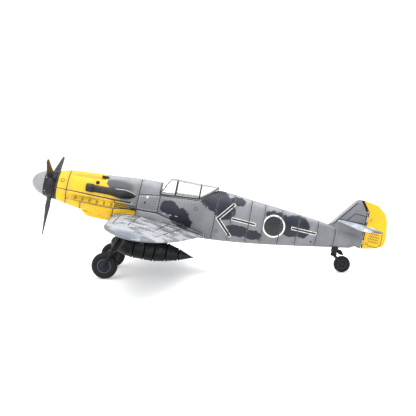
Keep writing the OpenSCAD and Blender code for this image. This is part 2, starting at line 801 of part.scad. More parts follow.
module axle_right() {
    color("silver") starboard() axle();
}

// A hub or tyre turned about the axle
module wheel_part(x, y, z, points) {
    translate([x, y, z]) rotate([90, 0, 0]) rotate_extrude() polygon(points);
}

hub_r = 0.27 * wheel_d;

module wheel_hub() {
    w = wheel_w / 2;
    wheel_part(wheel_x, wheel_y, -axle_drop, [
        [axle_d / 2 + running, -w], [axle_d / 2 + 0.7, -w], [axle_d / 2 + 0.9, -w + 1],
        [hub_r - 0.9, -w + 1], [hub_r - 0.6, -w + 0.2], [hub_r, -w + 0.2], [hub_r, w - 0.2],
        [hub_r - 0.6, w - 0.2], [hub_r - 0.9, w - 1], [axle_d / 2 + 0.9, w - 1],
        [axle_d / 2 + 0.7, w], [axle_d / 2 + running, w]]);
}

module wheel_hub_left() {
    color("slategray") wheel_hub();
}

module wheel_hub_right() {
    color("slategray") starboard() wheel_hub();
}

// Half of a tyre's round outline, from one bead over the tread to the other
function tyre_points(bore, r, w) =
    concat([[bore, -w * 0.36]],
           [for (a = [-75 : 15 : 75])
               [lerp(bore, r, 0.5) + (r - lerp(bore, r, 0.5)) * cos(a), w / 2 * sin(a) / sin(75)]],
           [[bore, w * 0.36]]);

module tyre() {
    wheel_part(wheel_x, wheel_y, -axle_drop, tyre_points(hub_r + seat / 2, wheel_d / 2, wheel_w));
}

module tyre_left() {
    color("black") tyre();
}

module tyre_right() {
    color("black") starboard() tyre();
}

belly_z = smooth(keel_line, swivel_x);

// Boss under the tail that the fork turns in
module tail_socket() {
    color("dimgray") difference() {
        translate([swivel_x, 0, belly_z - 2.6]) cylinder(h = 3.2, r = swivel_d / 2 + 0.9);
        translate([swivel_x, 0, belly_z - 3]) cylinder(h = 2.6, r = swivel_d / 2 + running);
    }
}

module tail_fork() {
    crown_z = belly_z - 2.6 - pass;
    arm = [1.6, 0.8];
    arm_y = tail_wheel_w / 2 + 0.3;
    color("dimgray") difference() {
        union() {
            translate([swivel_x, 0, crown_z - 1]) cylinder(h = 3 + pass, r = swivel_d / 2);
            translate([swivel_x, 0, crown_z - 1.6]) cylinder(h = 1.6, r = swivel_d / 2 + 0.7);
            translate([swivel_x - 0.8, -arm_y - arm[1], crown_z - 1.6])
                cube([1.6, 2 * (arm_y + arm[1]), 1.4]);
            for (s = [-1, 1]) hull() {
                translate([tail_wheel_x, s * (arm_y + arm[1] / 2), -tail_axle_drop])
                    rotate([90, 0, 0]) cylinder(h = arm[1], r = 1.1, center = true, $fn = 24);
                translate([swivel_x - 0.8, s * (arm_y + arm[1] / 2) - arm[1] / 2, crown_z - 1.6])
                    cube([1.6, arm[1], 1.4]);
            }
        }
        bar_y(tail_wheel_x, -4, 4, -tail_axle_drop, tail_axle_d / 2);
    }
}

module tail_axle() {
    arm_y = tail_wheel_w / 2 + 1.1;
    color("silver") bar_y(tail_wheel_x, -arm_y - 0.3, arm_y + 0.3, -tail_axle_drop, tail_axle_d / 2);
}

tail_hub_r = 0.27 * tail_wheel_d;

module tail_wheel_hub() {
    w = tail_wheel_w / 2;
    color("slategray") wheel_part(tail_wheel_x, 0, -tail_axle_drop, [
        [tail_axle_d / 2 + running, -w], [tail_hub_r, -w + 0.2], [tail_hub_r, w - 0.2],
        [tail_axle_d / 2 + running, w]]);
}

module tail_tyre() {
    color("black") wheel_part(tail_wheel_x, 0, -tail_axle_drop,
        tyre_points(tail_hub_r + seat / 2, tail_wheel_d / 2, tail_wheel_w));
}

// ---- drop tank ----

// Pylon between the belly and the tank
module tank_rack() {
    rack_x = 54;
    nose = 3;
    half = 1.9;
    foot = tank_drop - tank_d / 2 - seat;
    belly = root_thickness * (1 - upper_share) - wing_z + seat;
    color("black") translate([rack_x, 0, -foot]) linear_extrude(foot - belly)
        polygon(concat([for (a = [90 : 15 : 270]) [nose * cos(a), half * sin(a)]],
                       [[16, -half], [22, -0.3], [22, 0.3], [16, half]]));
}

// Outline of the tank: round nose, straight middle, long pointed tail
function tank_r(t) =
    tank_d / 2 * (t < 0.3 ? sqrt(1 - pow(1 - t / 0.3, 2))
                  : t < 0.45 ? 1 : max(0.05, 1 - pow((t - 0.45) / 0.55, 1.7)));
tank_marks = concat([0, 0.008, 0.03, 0.07, 0.12, 0.2, 0.3, 0.45],
                    [for (t = [0.53 : 0.078 : 1]) t], [1]);

module tank_half() {
    outer = [for (t = tank_marks) [tank_r(t), t * tank_length]];
    inner = [for (t = [0.9, 0.7, 0.5, 0.4, 0.25, 0.12])
        [max(0.3, tank_r(t) - tank_wall), t * tank_length]];
    translate([tank_x, 0, -tank_drop]) intersection() {
        spun(concat(outer, [[0, tank_length], [0, inner[0][1]]], inner,
                    [[0, inner[len(inner) - 1][1]]]));
        translate([-1, -tank_d, -tank_d]) cube([tank_length + 2, tank_d - seat / 2, 2 * tank_d]);
    }
}

module tank_half_left() {
    color("black") tank_half();
}

module tank_half_right() {
    color("black") starboard() tank_half();
}

stand() fuselage_left();
stand() fuselage_right();
stand() nose_bushing();
stand() chin_intake();
stand() supercharger_intake();
stand() exhaust_left();
stand() exhaust_right();
stand() cowl_gun_left();
stand() cowl_gun_right();
stand() wing_lower();
stand() wing_upper_left();
stand() wing_upper_right();
stand() radiator_left();
stand() radiator_right();
stand() cockpit_tub();
stand() pilot_seat();
stand() instrument_panel();
stand() control_stick();
stand() windscreen();
stand() rear_canopy();
stand() hood_hinge();
stand() canopy_hood();
stand() tailplane_left();
stand() tailplane_right();
stand() rudder_hinge();
stand() rudder();
stand() propeller_shaft();
stand() shaft_retainer();
stand() spinner_backplate();
stand() spinner_ring();
stand() spinner_cap();
stand() propeller_blades();
stand() gear_leg_left();
stand() gear_leg_right();
stand() gear_door_left();
stand() gear_door_right();
stand() axle_left();
stand() axle_right();
stand() wheel_hub_left();
stand() wheel_hub_right();
stand() tyre_left();
stand() tyre_right();
stand() tail_socket();
stand() tail_fork();
stand() tail_axle();
stand() tail_wheel_hub();
stand() tail_tyre();
stand() tank_rack();
stand() tank_half_left();
stand() tank_half_right();
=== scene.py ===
"""Looks of the propeller plane model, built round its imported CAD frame.

Shapes are worked out in the aircraft's own frame, in millimetres: x runs aft from the spinner
tip along the thrust line, y to starboard and z up. place() carries them to the shared frame.
"""

import json
import math

import bpy
from mathutils import Matrix, Vector


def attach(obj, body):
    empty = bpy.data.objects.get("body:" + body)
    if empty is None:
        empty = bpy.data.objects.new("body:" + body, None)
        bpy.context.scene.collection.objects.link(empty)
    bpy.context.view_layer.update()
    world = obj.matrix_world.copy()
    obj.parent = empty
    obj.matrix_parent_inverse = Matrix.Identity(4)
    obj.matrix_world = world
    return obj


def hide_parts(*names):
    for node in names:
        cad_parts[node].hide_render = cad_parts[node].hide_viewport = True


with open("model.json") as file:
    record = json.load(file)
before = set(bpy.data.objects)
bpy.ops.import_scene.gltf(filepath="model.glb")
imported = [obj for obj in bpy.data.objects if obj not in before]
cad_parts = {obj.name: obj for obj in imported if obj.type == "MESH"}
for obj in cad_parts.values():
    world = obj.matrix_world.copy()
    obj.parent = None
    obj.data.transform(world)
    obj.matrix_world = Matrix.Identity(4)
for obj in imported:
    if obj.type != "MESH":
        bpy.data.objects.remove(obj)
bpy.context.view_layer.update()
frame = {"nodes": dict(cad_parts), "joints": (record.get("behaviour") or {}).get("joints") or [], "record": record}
NODES = frame["nodes"]
JOINTS = {j["name"]: j for j in frame["joints"]}
MM = 0.001

# ---- the aircraft frame, from the propeller's axis ----

FORWARD = Vector(JOINTS["propeller_spin"]["axis"]).normalized()
AFT = -FORWARD
SIDE = Vector((0, 1, 0))
UP = AFT.cross(SIDE).normalized()
STANCE = math.atan2(-AFT.z, AFT.x)
HUB = Vector(JOINTS["propeller_spin"]["pos_m"])
TIP = HUB + FORWARD * max((v.co - HUB).dot(FORWARD) for v in NODES["spinner_cap"].data.vertices)


def place(p):
    """A point of the aircraft frame, in millimetres, as a point of the shared frame."""
    return TIP + (AFT * p[0] + SIDE * p[1] + UP * p[2]) * MM


def craft(v):
    """A point of the shared frame as a point of the aircraft frame."""
    d = (v - TIP) / MM
    return Vector((d.dot(AFT), d.dot(SIDE), d.dot(UP)))


def craft_box(node):
    """Lowest and highest corner of a CAD node along the aircraft's own axes, in millimetres."""
    points = [craft(v.co) for v in NODES[node].data.vertices]
    return [Vector([pick(p[k] for p in points) for k in range(3)]) for pick in (min, max)]


def clamp(v, low=0.0, high=1.0):
    return min(high, max(low, v))


def lerp(a, b, t):
    return a + (b - a) * t


def lookup(line, x):
    """Straight interpolation in a list of (x, value)."""
    if x <= line[0][0]:
        return line[0][1]
    for (xa, va), (xb, vb) in zip(line, line[1:]):
        if x <= xb:
            return lerp(va, vb, (x - xa) / (xb - xa)) if xb > xa else vb
    return line[-1][1]


def smooth(line, x):
    """Smooth curve through a list of (x, value)."""
    last = len(line) - 1
    i = next((k for k in range(last) if x < line[k + 1][0]), last - 1)

    def slope(k):
        a, b = line[max(0, k - 1)], line[min(last, k + 1)]
        return (b[1] - a[1]) / (b[0] - a[0])

    (xa, va), (xb, vb) = line[i], line[i + 1]
    step = xb - xa
    t = clamp((x - xa) / step)
    a, b = slope(i) * step, slope(i + 1) * step
    return ((2 * t**3 - 3 * t**2 + 1) * va + (t**3 - 2 * t**2 + t) * a
            + (3 * t**2 - 2 * t**3) * vb + (t**3 - t**2) * b)


# ---- body lines, the same rules as the CAD body ----

BODY_LOW, BODY_HIGH = craft_box("fuselage_left")
NOSE_X, POST_X, FIN_TOP = BODY_LOW.x, BODY_HIGH.x, BODY_HIGH.z
BODY_WALL = 1.1
DECK_X = 96.0
BULKHEAD_X = 65.7
FIN_X = POST_X - 19
FIN_HALF = 1.1


def aft(t):
    """A station on the tail boom, 0 at the rear bulkhead and 1 at the rudder post."""
    return lerp(DECK_X, POST_X, t)


DECK = [(NOSE_X, 7.3), (19, 9.1), (37.5, 10.5), (56, 12.1), (65.5, 12.4), (DECK_X, 14),
        (aft(0.22), 12.6), (aft(0.45), 11), (aft(0.69), 9), (aft(0.8), 7.7), (POST_X, 6)]
KEEL = [(NOSE_X, -7.3), (19, -8.4), (27, -9.7), (35, -11.3), (43, -12), (90, -12),
        (aft(0.15), -10.7), (aft(0.31), -9.2), (aft(0.55), -6.5), (aft(0.81), -3.2),
        (POST_X - 5.4, -1.72), (POST_X - 4.2, -1.0), (POST_X - 2.9, -0.38), (POST_X - 1.9, -0.68),
        (POST_X - 1.2, -1.02), (POST_X, -0.8)]
WIDTH = [(NOSE_X, 7.25), (19, 7.9), (30, 8.5), (56, 9), (90, 9), (aft(0.22), 7.6),
         (aft(0.45), 5.9), (aft(0.69), 3.9), (aft(0.84), 2.6), (POST_X, 1.3)]
SQUARE_OVER = [(NOSE_X, 2), (30, 2.05), (56, 1.85), (DECK_X, 1.8), (POST_X, 2)]
SQUARE_UNDER = [(NOSE_X, 2), (30, 2.3), (60, 2.4), (100, 2.3), (POST_X, 2)]
SILL = [(BULKHEAD_X, 6.5), (86, 8), (94.6, 13.95)]
FIN_LINE = [(FIN_X, 7.7), (POST_X - 7.5, FIN_TOP - 1), (POST_X - 5.6, FIN_TOP),
            (POST_X - 3.9, FIN_TOP), (POST_X, FIN_TOP - 5.5)]


def body_mid(x):
    return (smooth(DECK, x) + smooth(KEEL, x)) / 2


def body_tall(x):
    return (smooth(DECK, x) - smooth(KEEL, x)) / 2


def body_power(x, over):
    return smooth(SQUARE_OVER if over else SQUARE_UNDER, x)


def body_y(x, z):
    """Half width of the body at a height."""
    n = body_power(x, z > body_mid(x))
    r = clamp(abs(z - body_mid(x)) / body_tall(x))
    return smooth(WIDTH, x) * (1 - r**n) ** (1 / n)


def angle_at(x, z, inset=0.0):
    r = (z - body_mid(x)) / (body_tall(x) - inset)
    n = body_power(x, r > 0)
    return math.copysign(math.degrees(math.asin(clamp(abs(r)) ** (n / 2))), r)


def section_point(x, angle, inset=0.0):
    n = body_power(x, angle > 0)
    c, s = abs(math.cos(math.radians(angle))), math.sin(math.radians(angle))
    half = max(smooth(WIDTH, x) - inset, 0.2)
    tall = body_tall(x) - inset
    return Vector((x, -half * c ** (2 / n),
                   body_mid(x) + math.copysign(tall * abs(s) ** (2 / n), s)))


# ---- wing rules, the same as the CAD wing ----

WING_HIGH = craft_box("wing_lower")[1]
HALF_SPAN = WING_HIGH.y
WING_X, WING_Z, ROOT_Y = 43.5, -10.4, 6.0
ROOT_CHORD, TIP_CHORD, TIP_SETBACK = 48.1, 25.0, 5.5
ROOT_THICK, TIP_THICK, DIHEDRAL = 6.1, 2.6, 3.0
UPPER_SHARE, EDGE_HALF = 0.62, 0.3
TIP_Y = HALF_SPAN - 38
SEAT = 0.06


def foil(t):
    t = clamp(t)
    return 10 * (0.2969 * math.sqrt(t) - 0.126 * t - 0.3516 * t**2 + 0.2843 * t**3 - 0.1036 * t**4)


def span_share(y):
    return clamp((abs(y) - ROOT_Y) / (HALF_SPAN - ROOT_Y))


def tip_round(y):
    return math.sqrt(1 - (clamp((abs(y) - TIP_Y) / (HALF_SPAN - TIP_Y)) * 0.985) ** 2)


def wing_chord(y):
    return lerp(ROOT_CHORD, TIP_CHORD, span_share(y))


def wing_lead(y):
    return WING_X + TIP_SETBACK * span_share(y) + 0.62 * wing_chord(y) * (1 - tip_round(y))


def wing_x(y, t):
    return wing_lead(y) + wing_chord(y) * tip_round(y) * t


def wing_thick(y):
    return lerp(ROOT_THICK, TIP_THICK, span_share(y)) * math.sqrt(tip_round(y))


def wing_plane(y):
    return WING_Z + max(0.0, abs(y) - ROOT_Y) * math.tan(math.radians(DIHEDRAL))


def upper_height(t, y):
    return EDGE_HALF + max(0.0, wing_thick(y) * UPPER_SHARE - EDGE_HALF) * foil(t)


def lower_depth(t, y):
    return EDGE_HALF + max(0.0, wing_thick(y) * (1 - UPPER_SHARE) - EDGE_HALF) * foil(t)


def over_wing(x):
    return WING_X - 0.15 < x < WING_X + ROOT_CHORD + 0.15


def wing_cut(x):
    """Height of the body's lower edge over the wing root."""
    return WING_Z + SEAT + 0.2 + upper_height((x - WING_X) / ROOT_CHORD, ROOT_Y)


# ---- materials ----

WHITE_EDGE = (0.80, 0.79, 0.74)
INK = (0.012, 0.013, 0.016)


class Net:
    """One procedural material: a node tree with short calls for the nodes it is made of."""

    def __init__(self, name, roughness=0.5, specular=0.4, metallic=0.0, alpha=1.0):
        self.mat = bpy.data.materials.new(name)
        self.mat.use_nodes = True
        self.nodes = self.mat.node_tree.nodes
        self.links = self.mat.node_tree.links
        self.shader = self.nodes["Principled BSDF"]
        self.set_input(self.shader, "Roughness", roughness)
        self.set_input(self.shader, "Specular IOR Level", specular)
        self.set_input(self.shader, "Metallic", metallic)
        self.set_input(self.shader, "Alpha", alpha)
        self.make_axes()

    def set_input(self, node, key, value):
        socket = node.inputs[key]
        if isinstance(value, bpy.types.NodeSocket):
            self.links.new(value, socket)
        elif isinstance(value, tuple) and len(value) == 3 and socket.type == "RGBA":
            socket.default_value = (*value, 1.0)
        else:
            socket.default_value = value

    def make_axes(self):
        """The aircraft's own x, y and z at the shaded point, in millimetres."""
        coords = self.nodes.new("ShaderNodeTexCoord").outputs["Object"]
        shift = self.vector("SUBTRACT", coords, tuple(TIP))
        turned = self.nodes.new("ShaderNodeVectorRotate")
        turned.rotation_type = "Y_AXIS"
        self.links.new(shift, turned.inputs["Vector"])
        turned.inputs["Angle"].default_value = -STANCE
        scaled = self.vector("SCALE", turned.outputs[0], scale=1 / MM)
        self.craft = scaled
        split = self.nodes.new("ShaderNodeSeparateXYZ")
        self.links.new(scaled, split.inputs[0])
        self.x, self.y, self.z = split.outputs

    def vector(self, op, a, b=None, scale=None):
        n = self.nodes.new("ShaderNodeVectorMath")
        n.operation = op
        for key, value in ((0, a), (1, b)):
            if value is not None:
                self.set_input(n, key, value)
        if scale is not None:
            n.inputs["Scale"].default_value = scale
        return n.outputs["Vector"]

    def math(self, op, a, b=None):
        n = self.nodes.new("ShaderNodeMath")
        n.operation = op
        for key, value in ((0, a), (1, b)):
            if value is not None:
                self.set_input(n, key, value)
        return n.outputs[0]

    def add(self, a, b):
        return self.math("ADD", a, b)

    def sub(self, a, b):
        return self.math("SUBTRACT", a, b)

    def mul(self, a, b):
        return self.math("MULTIPLY", a, b)

    def either(self, *masks):
        out = masks[0]
        for m in masks[1:]:
            out = self.math("MAXIMUM", out, m)
        return out

    def step(self, value, low, high, out_low=0.0, out_high=1.0):
        """Smooth change from out_low to out_high as value goes from low to high."""
        n = self.nodes.new("ShaderNodeMapRange")
        n.interpolation_type = "SMOOTHSTEP"
        self.set_input(n, "Value", value)
        for key, v in (("From Min", low), ("From Max", high), ("To Min", out_low),
                       ("To Max", out_high)):
            n.inputs[key].default_value = v
        return n.outputs[0]

    def noise(self, scale, detail=3.0, rough=0.55, stretch=None, w=0.0):
        """Noise over the aircraft's own axes, scale in features per millimetre."""
        n = self.nodes.new("ShaderNodeTexNoise")
        n.noise_dimensions = "4D"
        n.inputs["W"].default_value = w
        source = self.craft
        if stretch:
            source = self.vector("MULTIPLY", source, stretch)
        self.links.new(source, n.inputs["Vector"])
        n.inputs["Scale"].default_value = scale
        n.inputs["Detail"].default_value = detail
        n.inputs["Roughness"].default_value = rough
        return n.outputs["Fac"]

    def mix(self, fac, a, b):
        n = self.nodes.new("ShaderNodeMix")
        n.data_type = "RGBA"
        self.set_input(n, 0, fac)
        self.set_input(n, 6, a)
        self.set_input(n, 7, b)
        return n.outputs[2]

    def attribute(self, name):
        n = self.nodes.new("ShaderNodeAttribute")
        n.attribute_name = name
        return n.outputs["Fac"]

    def stroke(self, ax, az, bx, bz, half, soft=0.1):
        """Mask of a straight line of the side view, from (ax, az) to (bx, bz)."""
        long = math.hypot(bx - ax, bz - az)
        dx, dz = (bx - ax) / long, (bz - az) / long
        px, pz = self.sub(self.x, ax), self.sub(self.z, az)
        along = self.add(self.mul(px, dx), self.mul(pz, dz))
        away = self.math("ABSOLUTE", self.sub(self.mul(px, dz), self.mul(pz, dx)))
        past = self.math("ABSOLUTE", self.sub(along, long / 2))
        return self.mul(self.step(away, half + soft, half - soft),
                        self.step(past, long / 2 + half + soft, long / 2 + half - soft))

    def blob(self, x, z, cx, cz, rx, rz, outside=1.06, inside=0.9):
        """Mask of a soft-edged patch on the side view."""
        dx = self.mul(self.sub(x, cx), 1 / rx)
        dz = self.mul(self.sub(z, cz), 1 / rz)
        d = self.math("SQRT", self.add(self.mul(dx, dx), self.mul(dz, dz)))
        return self.step(d, outside, inside)

    def finish(self, color, bump=None, roughness=None, strength=0.3, distance=0.1):
        """Sets the colour, the roughness and a bump whose height is in millimetres."""
        self.set_input(self.shader, "Base Color", color)
        if roughness is not None:
            self.set_input(self.shader, "Roughness", roughness)
        if bump is not None:
            n = self.nodes.new("ShaderNodeBump")
            n.inputs["Strength"].default_value = strength
            n.inputs["Distance"].default_value = distance * MM
            self.links.new(bump, n.inputs["Height"])
            self.links.new(n.outputs[0], self.shader.inputs["Normal"])
        return self.mat


def scale_color(color, k):
    return tuple(c * k for c in color)


def two_tone(net, mask, color, low, high):
    """A colour that goes from low to high times its value with a mask."""
    return net.mix(mask, scale_color(color, low), scale_color(color, high))


def moulded(name, color, roughness=0.45, drybrush=None, spread=0.25, metallic=0.0, w=0.0, specular=0.3):
    """Painted moulded plastic: slow and fine colour change, grain, scuffs and worn high spots."""
    net = Net(name, metallic=metallic, specular=specular)
    slow = net.noise(0.16, 3, w=w)
    fine = net.noise(2.2, 4, 0.6, w=w + 3)
    base = two_tone(net, net.step(slow, 0.3, 0.7), color, 1 - spread, 1 + spread)
    base = net.mix(net.step(fine, 0.62, 0.8, 0, 0.3), base, scale_color(color, 1.9))
    if drybrush:
        worn = net.mul(net.step(net.noise(1.1, 5, 0.7, w=w + 5), 0.56, 0.7), 0.6)
        base = net.mix(worn, base, drybrush)
    rough = net.step(net.noise(0.9, 4, 0.65, w=w + 7), 0.3, 0.75, roughness - 0.1, roughness + 0.14)
    grain = net.add(net.noise(6.0, 2, 0.5, w=w + 9), net.mul(net.noise(0.8, 2, w=w + 11), 0.8))
    return net.finish(base, grain, rough, strength=0.35, distance=0.06)


GRAY = (0.150, 0.154, 0.166)
DARK = (0.007, 0.009, 0.016)
YELLOW = (0.68, 0.405, 0.007)
BLUE_GRAY = (0.075, 0.095, 0.125)
COWL_TOP = (0.040, 0.043, 0.050)
SOOT = (0.115, 0.095, 0.014)
PAINTED_SHADE_BLUE = (0.085, 0.105, 0.135)
NAVY = (0.018, 0.028, 0.075)

# Dark patches over the body side: centre x and z, then half sizes
PATCHES = [(72, 1.0, 5.2, 3.6), (77.5, -2.2, 5.4, 4.4), (80.5, -5.2, 4.0, 3.6), (94.5, 9.0, 8.0, 5.6),
           (99.5, 5.2, 5.6, 5.2), (105.5, 10.6, 4.0, 2.0), (107.5, -4.0, 7.4, 3.0),
           (115, -4.4, 5.8, 2.6), (126, 7.4, 6.0, 2.1), (137, 5.0, 7.0, 4.8), (134, 0.9, 4.5, 2.8),
           (141, 2.0, 3.6, 3.4)]
# The nose paint ends further aft low on the side
YELLOW_END = [(-13.0, 57.0), (-5.2, 56.0), (-1.5, 50.5), (1.5, 43.0), (7.0, 38.6), (11.0, 37.4)]


def craft_color(net):
    """Nose yellow and grey with dark patches of the fuselage, with a painted sheen on top and a painted highlight
    on the wing-root band; the side markings are added by side_markings.
    """
    wobble = net.sub(net.noise(0.34, 4, 0.6), 0.5)
    jag = net.sub(net.noise(0.34, 4, 0.6, w=4.0), 0.5)
    x, z = net.add(net.x, net.mul(wobble, 3.6)), net.add(net.z, net.mul(jag, 3.6))
    cloud = net.noise(0.09, 3, w=8.0)
    mottle = net.noise(1.3, 4, 0.65, w=2.0)
    base = two_tone(net, net.step(cloud, 0.3, 0.7), GRAY, 0.86, 1.16)
    base = net.mix(net.step(mottle, 0.55, 0.8, 0, 0.35), base, scale_color(GRAY, 1.5))
    # painted highlight: the pale band over the wing-root fillet
    base = net.mix(net.mul(net.attribute("pale"), 0.8), base, scale_color(GRAY, 2.0))
    # painted sheen: the upper body is lightened toward its top, standing in for the overhead light on it
    high = net.add(net.attribute("high"), net.mul(net.noise(0.25, 3, w=13.0), 0.3))
    base = net.mix(net.step(high, 0.86, 1.15, 0, 0.5), base, scale_color(GRAY, 2.6))
    dark = net.either(*[net.blob(x, z, *p) for p in PATCHES])
    speck = net.step(net.noise(0.9, 4, 0.7, w=17.0), 0.62, 0.72, 0, 0.28)
    patch = net.mix(speck, two_tone(net, net.step(cloud, 0.35, 0.7), DARK, 1.0, 1.8), GRAY)
    base = net.mix(dark, base, patch)
    cowl = net.blob(net.add(net.x, wobble), net.add(net.z, jag), 44.5, 6.9, 9.0, 2.7, 1.15, 0.6)
    base = net.mix(net.mul(cowl, 0.85), base, COWL_TOP)
    end = YELLOW_END[0][1]
    for (z0, x0), (z1, x1) in zip(YELLOW_END, YELLOW_END[1:]):
        end = net.add(net.mul(net.step(net.z, z0, z1), x1 - x0), end)
    tint = two_tone(net, net.step(mottle, 0.4, 0.8), YELLOW, 0.9, 1.12)
    soot = net.either(net.blob(net.x, net.z, 50.5, -1.4, 8.5, 4.6, 1.2, 0.3),
                      net.blob(net.x, net.z, 34, -3.6, 17, 2.4, 1.1, 0.5))
    tint = net.mix(net.mul(soot, 0.62), tint, SOOT)
    tint = net.mix(net.step(net.x, NOSE_X + 1.25, NOSE_X + 1.15), tint, INK)
    yellow = net.step(net.sub(net.add(net.x, net.mul(wobble, 2.0)), end), 0.35, -0.35)
    return net.mix(yellow, base, tint), mottle


# Side bars as straight strokes with their half widths, then the disc's centre and radii
BARS = [(104.4, 1.7, 115.6, 1.1, 0.48), (135.4, 2.8, 147.2, 2.3, 0.48),
        (103.6, 8.6, 96.9, 0.5, 0.55), (96.9, 0.5, 104.2, -7.0, 0.55)]
BAR_EDGE = 0.3
DISC_X, DISC_Z, DISC_R, DISC_EDGE_R = 125.6, 2.0, 5.05, 5.8


def side_markings(net, base):
    """Plain bars, an angle and a disc on both sides, black with pale edges."""
    pale = net.either(*[net.stroke(*b[:4], b[4] + BAR_EDGE) for b in BARS])
    ink = net.either(*[net.stroke(*b) for b in BARS])
    dx, dz = net.sub(net.x, DISC_X), net.sub(net.z, DISC_Z)
    r = net.math("SQRT", net.add(net.mul(dx, dx), net.mul(dz, dz)))
    pale = net.either(pale, net.step(r, DISC_EDGE_R + 0.1, DISC_EDGE_R - 0.1))
    ink = net.either(ink, net.step(r, DISC_R + 0.1, DISC_R - 0.1))
    low = net.step(net.noise(1.6, 4, 0.7, w=21.0), 0.36, 0.46)
    side = net.step(net.math("ABSOLUTE", net.y), 1.2, 1.8)
    base = net.mix(net.mul(net.mul(pale, side), low), base, (0.72, 0.72, 0.70))
    worn = net.mix(net.step(net.noise(2.0, 3, w=22.0), 0.5, 0.8), INK, (0.06, 0.055, 0.045))
    return net.mix(net.mul(ink, side), base, worn)


def with_wash(net, base, mottle, low=0.3, high=0.62):
    """Black wash in the grooves and a pale worn lip along them."""
    wash = net.attribute("wash")
    lip = net.mul(net.step(wash, 0.02, 0.12), net.step(wash, 0.4, 0.2))
    lip = net.mul(lip, net.step(mottle, 0.42, 0.6, 0.05, 0.5))
    base = net.mix(lip, base, WHITE_EDGE)
    # grime by the upright panel lines, and painted shade in the gun troughs
    grime = net.mul(net.attribute("grime"), net.step(mottle, 0.35, 0.75, 0.12, 0.4))
    base = net.mix(grime, base, scale_color(INK, 2.0))
    return net.mix(net.step(wash, low, high, 0, 0.94), base, INK)


def body_paint():
    net = Net("fuselage_paint", specular=0.3)
    base, mottle = craft_color(net)
    base = side_markings(net, base)
    base = with_wash(net, base, mottle)
    # painted shade: the fin's slanted rear edge is inked like the dark gap to the rudder
    post = net.stroke(POST_X + 0.1, FIN_TOP - 5.8, POST_X - 3.9, FIN_TOP + 0.2, 0.6)
    base = net.mix(net.mul(post, 0.92), base, INK)
    rough = net.step(net.noise(1.1, 4, 0.6, w=31.0), 0.3, 0.75, 0.32, 0.52)
    grain = net.add(net.noise(5.5, 2, w=33.0), net.mul(net.noise(0.35, 3, w=35.0), 2.2))
    return net.finish(base, grain, rough, strength=0.4, distance=0.07)


def wing_paint(name, color, spread, seed, pale=2.6, reflection_amount=0.75):
    """Wing skin: cloudy grey with pale mottled patches and flecks painted as the white reflection on the skin,
    streaks that run back, and painted shade along the nose and the tip.
    """
    net = Net(name, specular=0.3)
    cloud = net.noise(0.12, 4, 0.6, w=seed)
    patch = net.noise(0.13, 5, 0.62, w=seed + 8, stretch=(1.0, 0.6, 1.0))
    fleck = net.noise(1.5, 5, 0.7, w=seed + 2, stretch=(0.8, 0.35, 1.0))
    streak = net.noise(0.7, 4, 0.6, w=seed + 4, stretch=(0.25, 1.4, 1.0))
    base = two_tone(net, net.step(cloud, 0.32, 0.68), color, 1 - spread, 1 + spread)
    # painted reflection: pale patches and flecks stand for the white surroundings mirrored in the skin
    base = net.mix(net.step(patch, 0.47, 0.54, 0, reflection_amount), base, scale_color(color, pale))
    base = net.mix(net.step(fleck, 0.54, 0.66, 0, 0.45), base, scale_color(color, pale * 0.8))
    base = net.mix(net.step(streak, 0.58, 0.75, 0, 0.45), base, scale_color(color, 0.55))
    # painted shade: blue-grey along the leading edge and toward the tip, where the rounded edge's lower side lies
    # in shadow
    base = net.mix(net.step(net.attribute("shade"), 0.1, 0.75, 0, 0.85), base, PAINTED_SHADE_BLUE)
    base = with_wash(net, base, fleck, 0.1, 0.35)
    rough = net.step(fleck, 0.35, 0.7, 0.46, 0.26)
    grain = net.add(net.mul(fleck, 1.6), net.noise(0.5, 3, w=seed + 6))
    return net, base, grain, rough


def plain_skin(net, base, grain, rough):
    return net.finish(base, grain, rough, strength=0.5, distance=0.12)


def tail_skin(net, base, grain, rough):
    """Tailplane skin with navy ends on the elevators."""
    outboard = net.step(net.math("ABSOLUTE", net.y), 19.0, 22.0)
    ends = net.mul(net.step(net.x, POST_X - 1.9, POST_X - 1.5), outboard)
    edge = net.step(net.x, POST_X + 2.6, POST_X + 4.2)
    base = net.mix(net.mul(net.either(ends, edge), 0.9), base, NAVY)
    return plain_skin(net, base, grain, rough)


TICK_PITCH, TICK_ROW, TICK_FOOT, TICK_ROWS = 0.95, 1.35, 3.2, 5
FOOT_LINES = [(POST_X + 3.4, 1.3, POST_X + 8.2, 1.2), (POST_X + 3.4, 1.3, POST_X + 2.9, 2.6),
              (POST_X + 8.2, 1.2, POST_X + 9.8, 3.0), (POST_X + 9.8, 3.0, POST_X + 9.6, 9.5)]


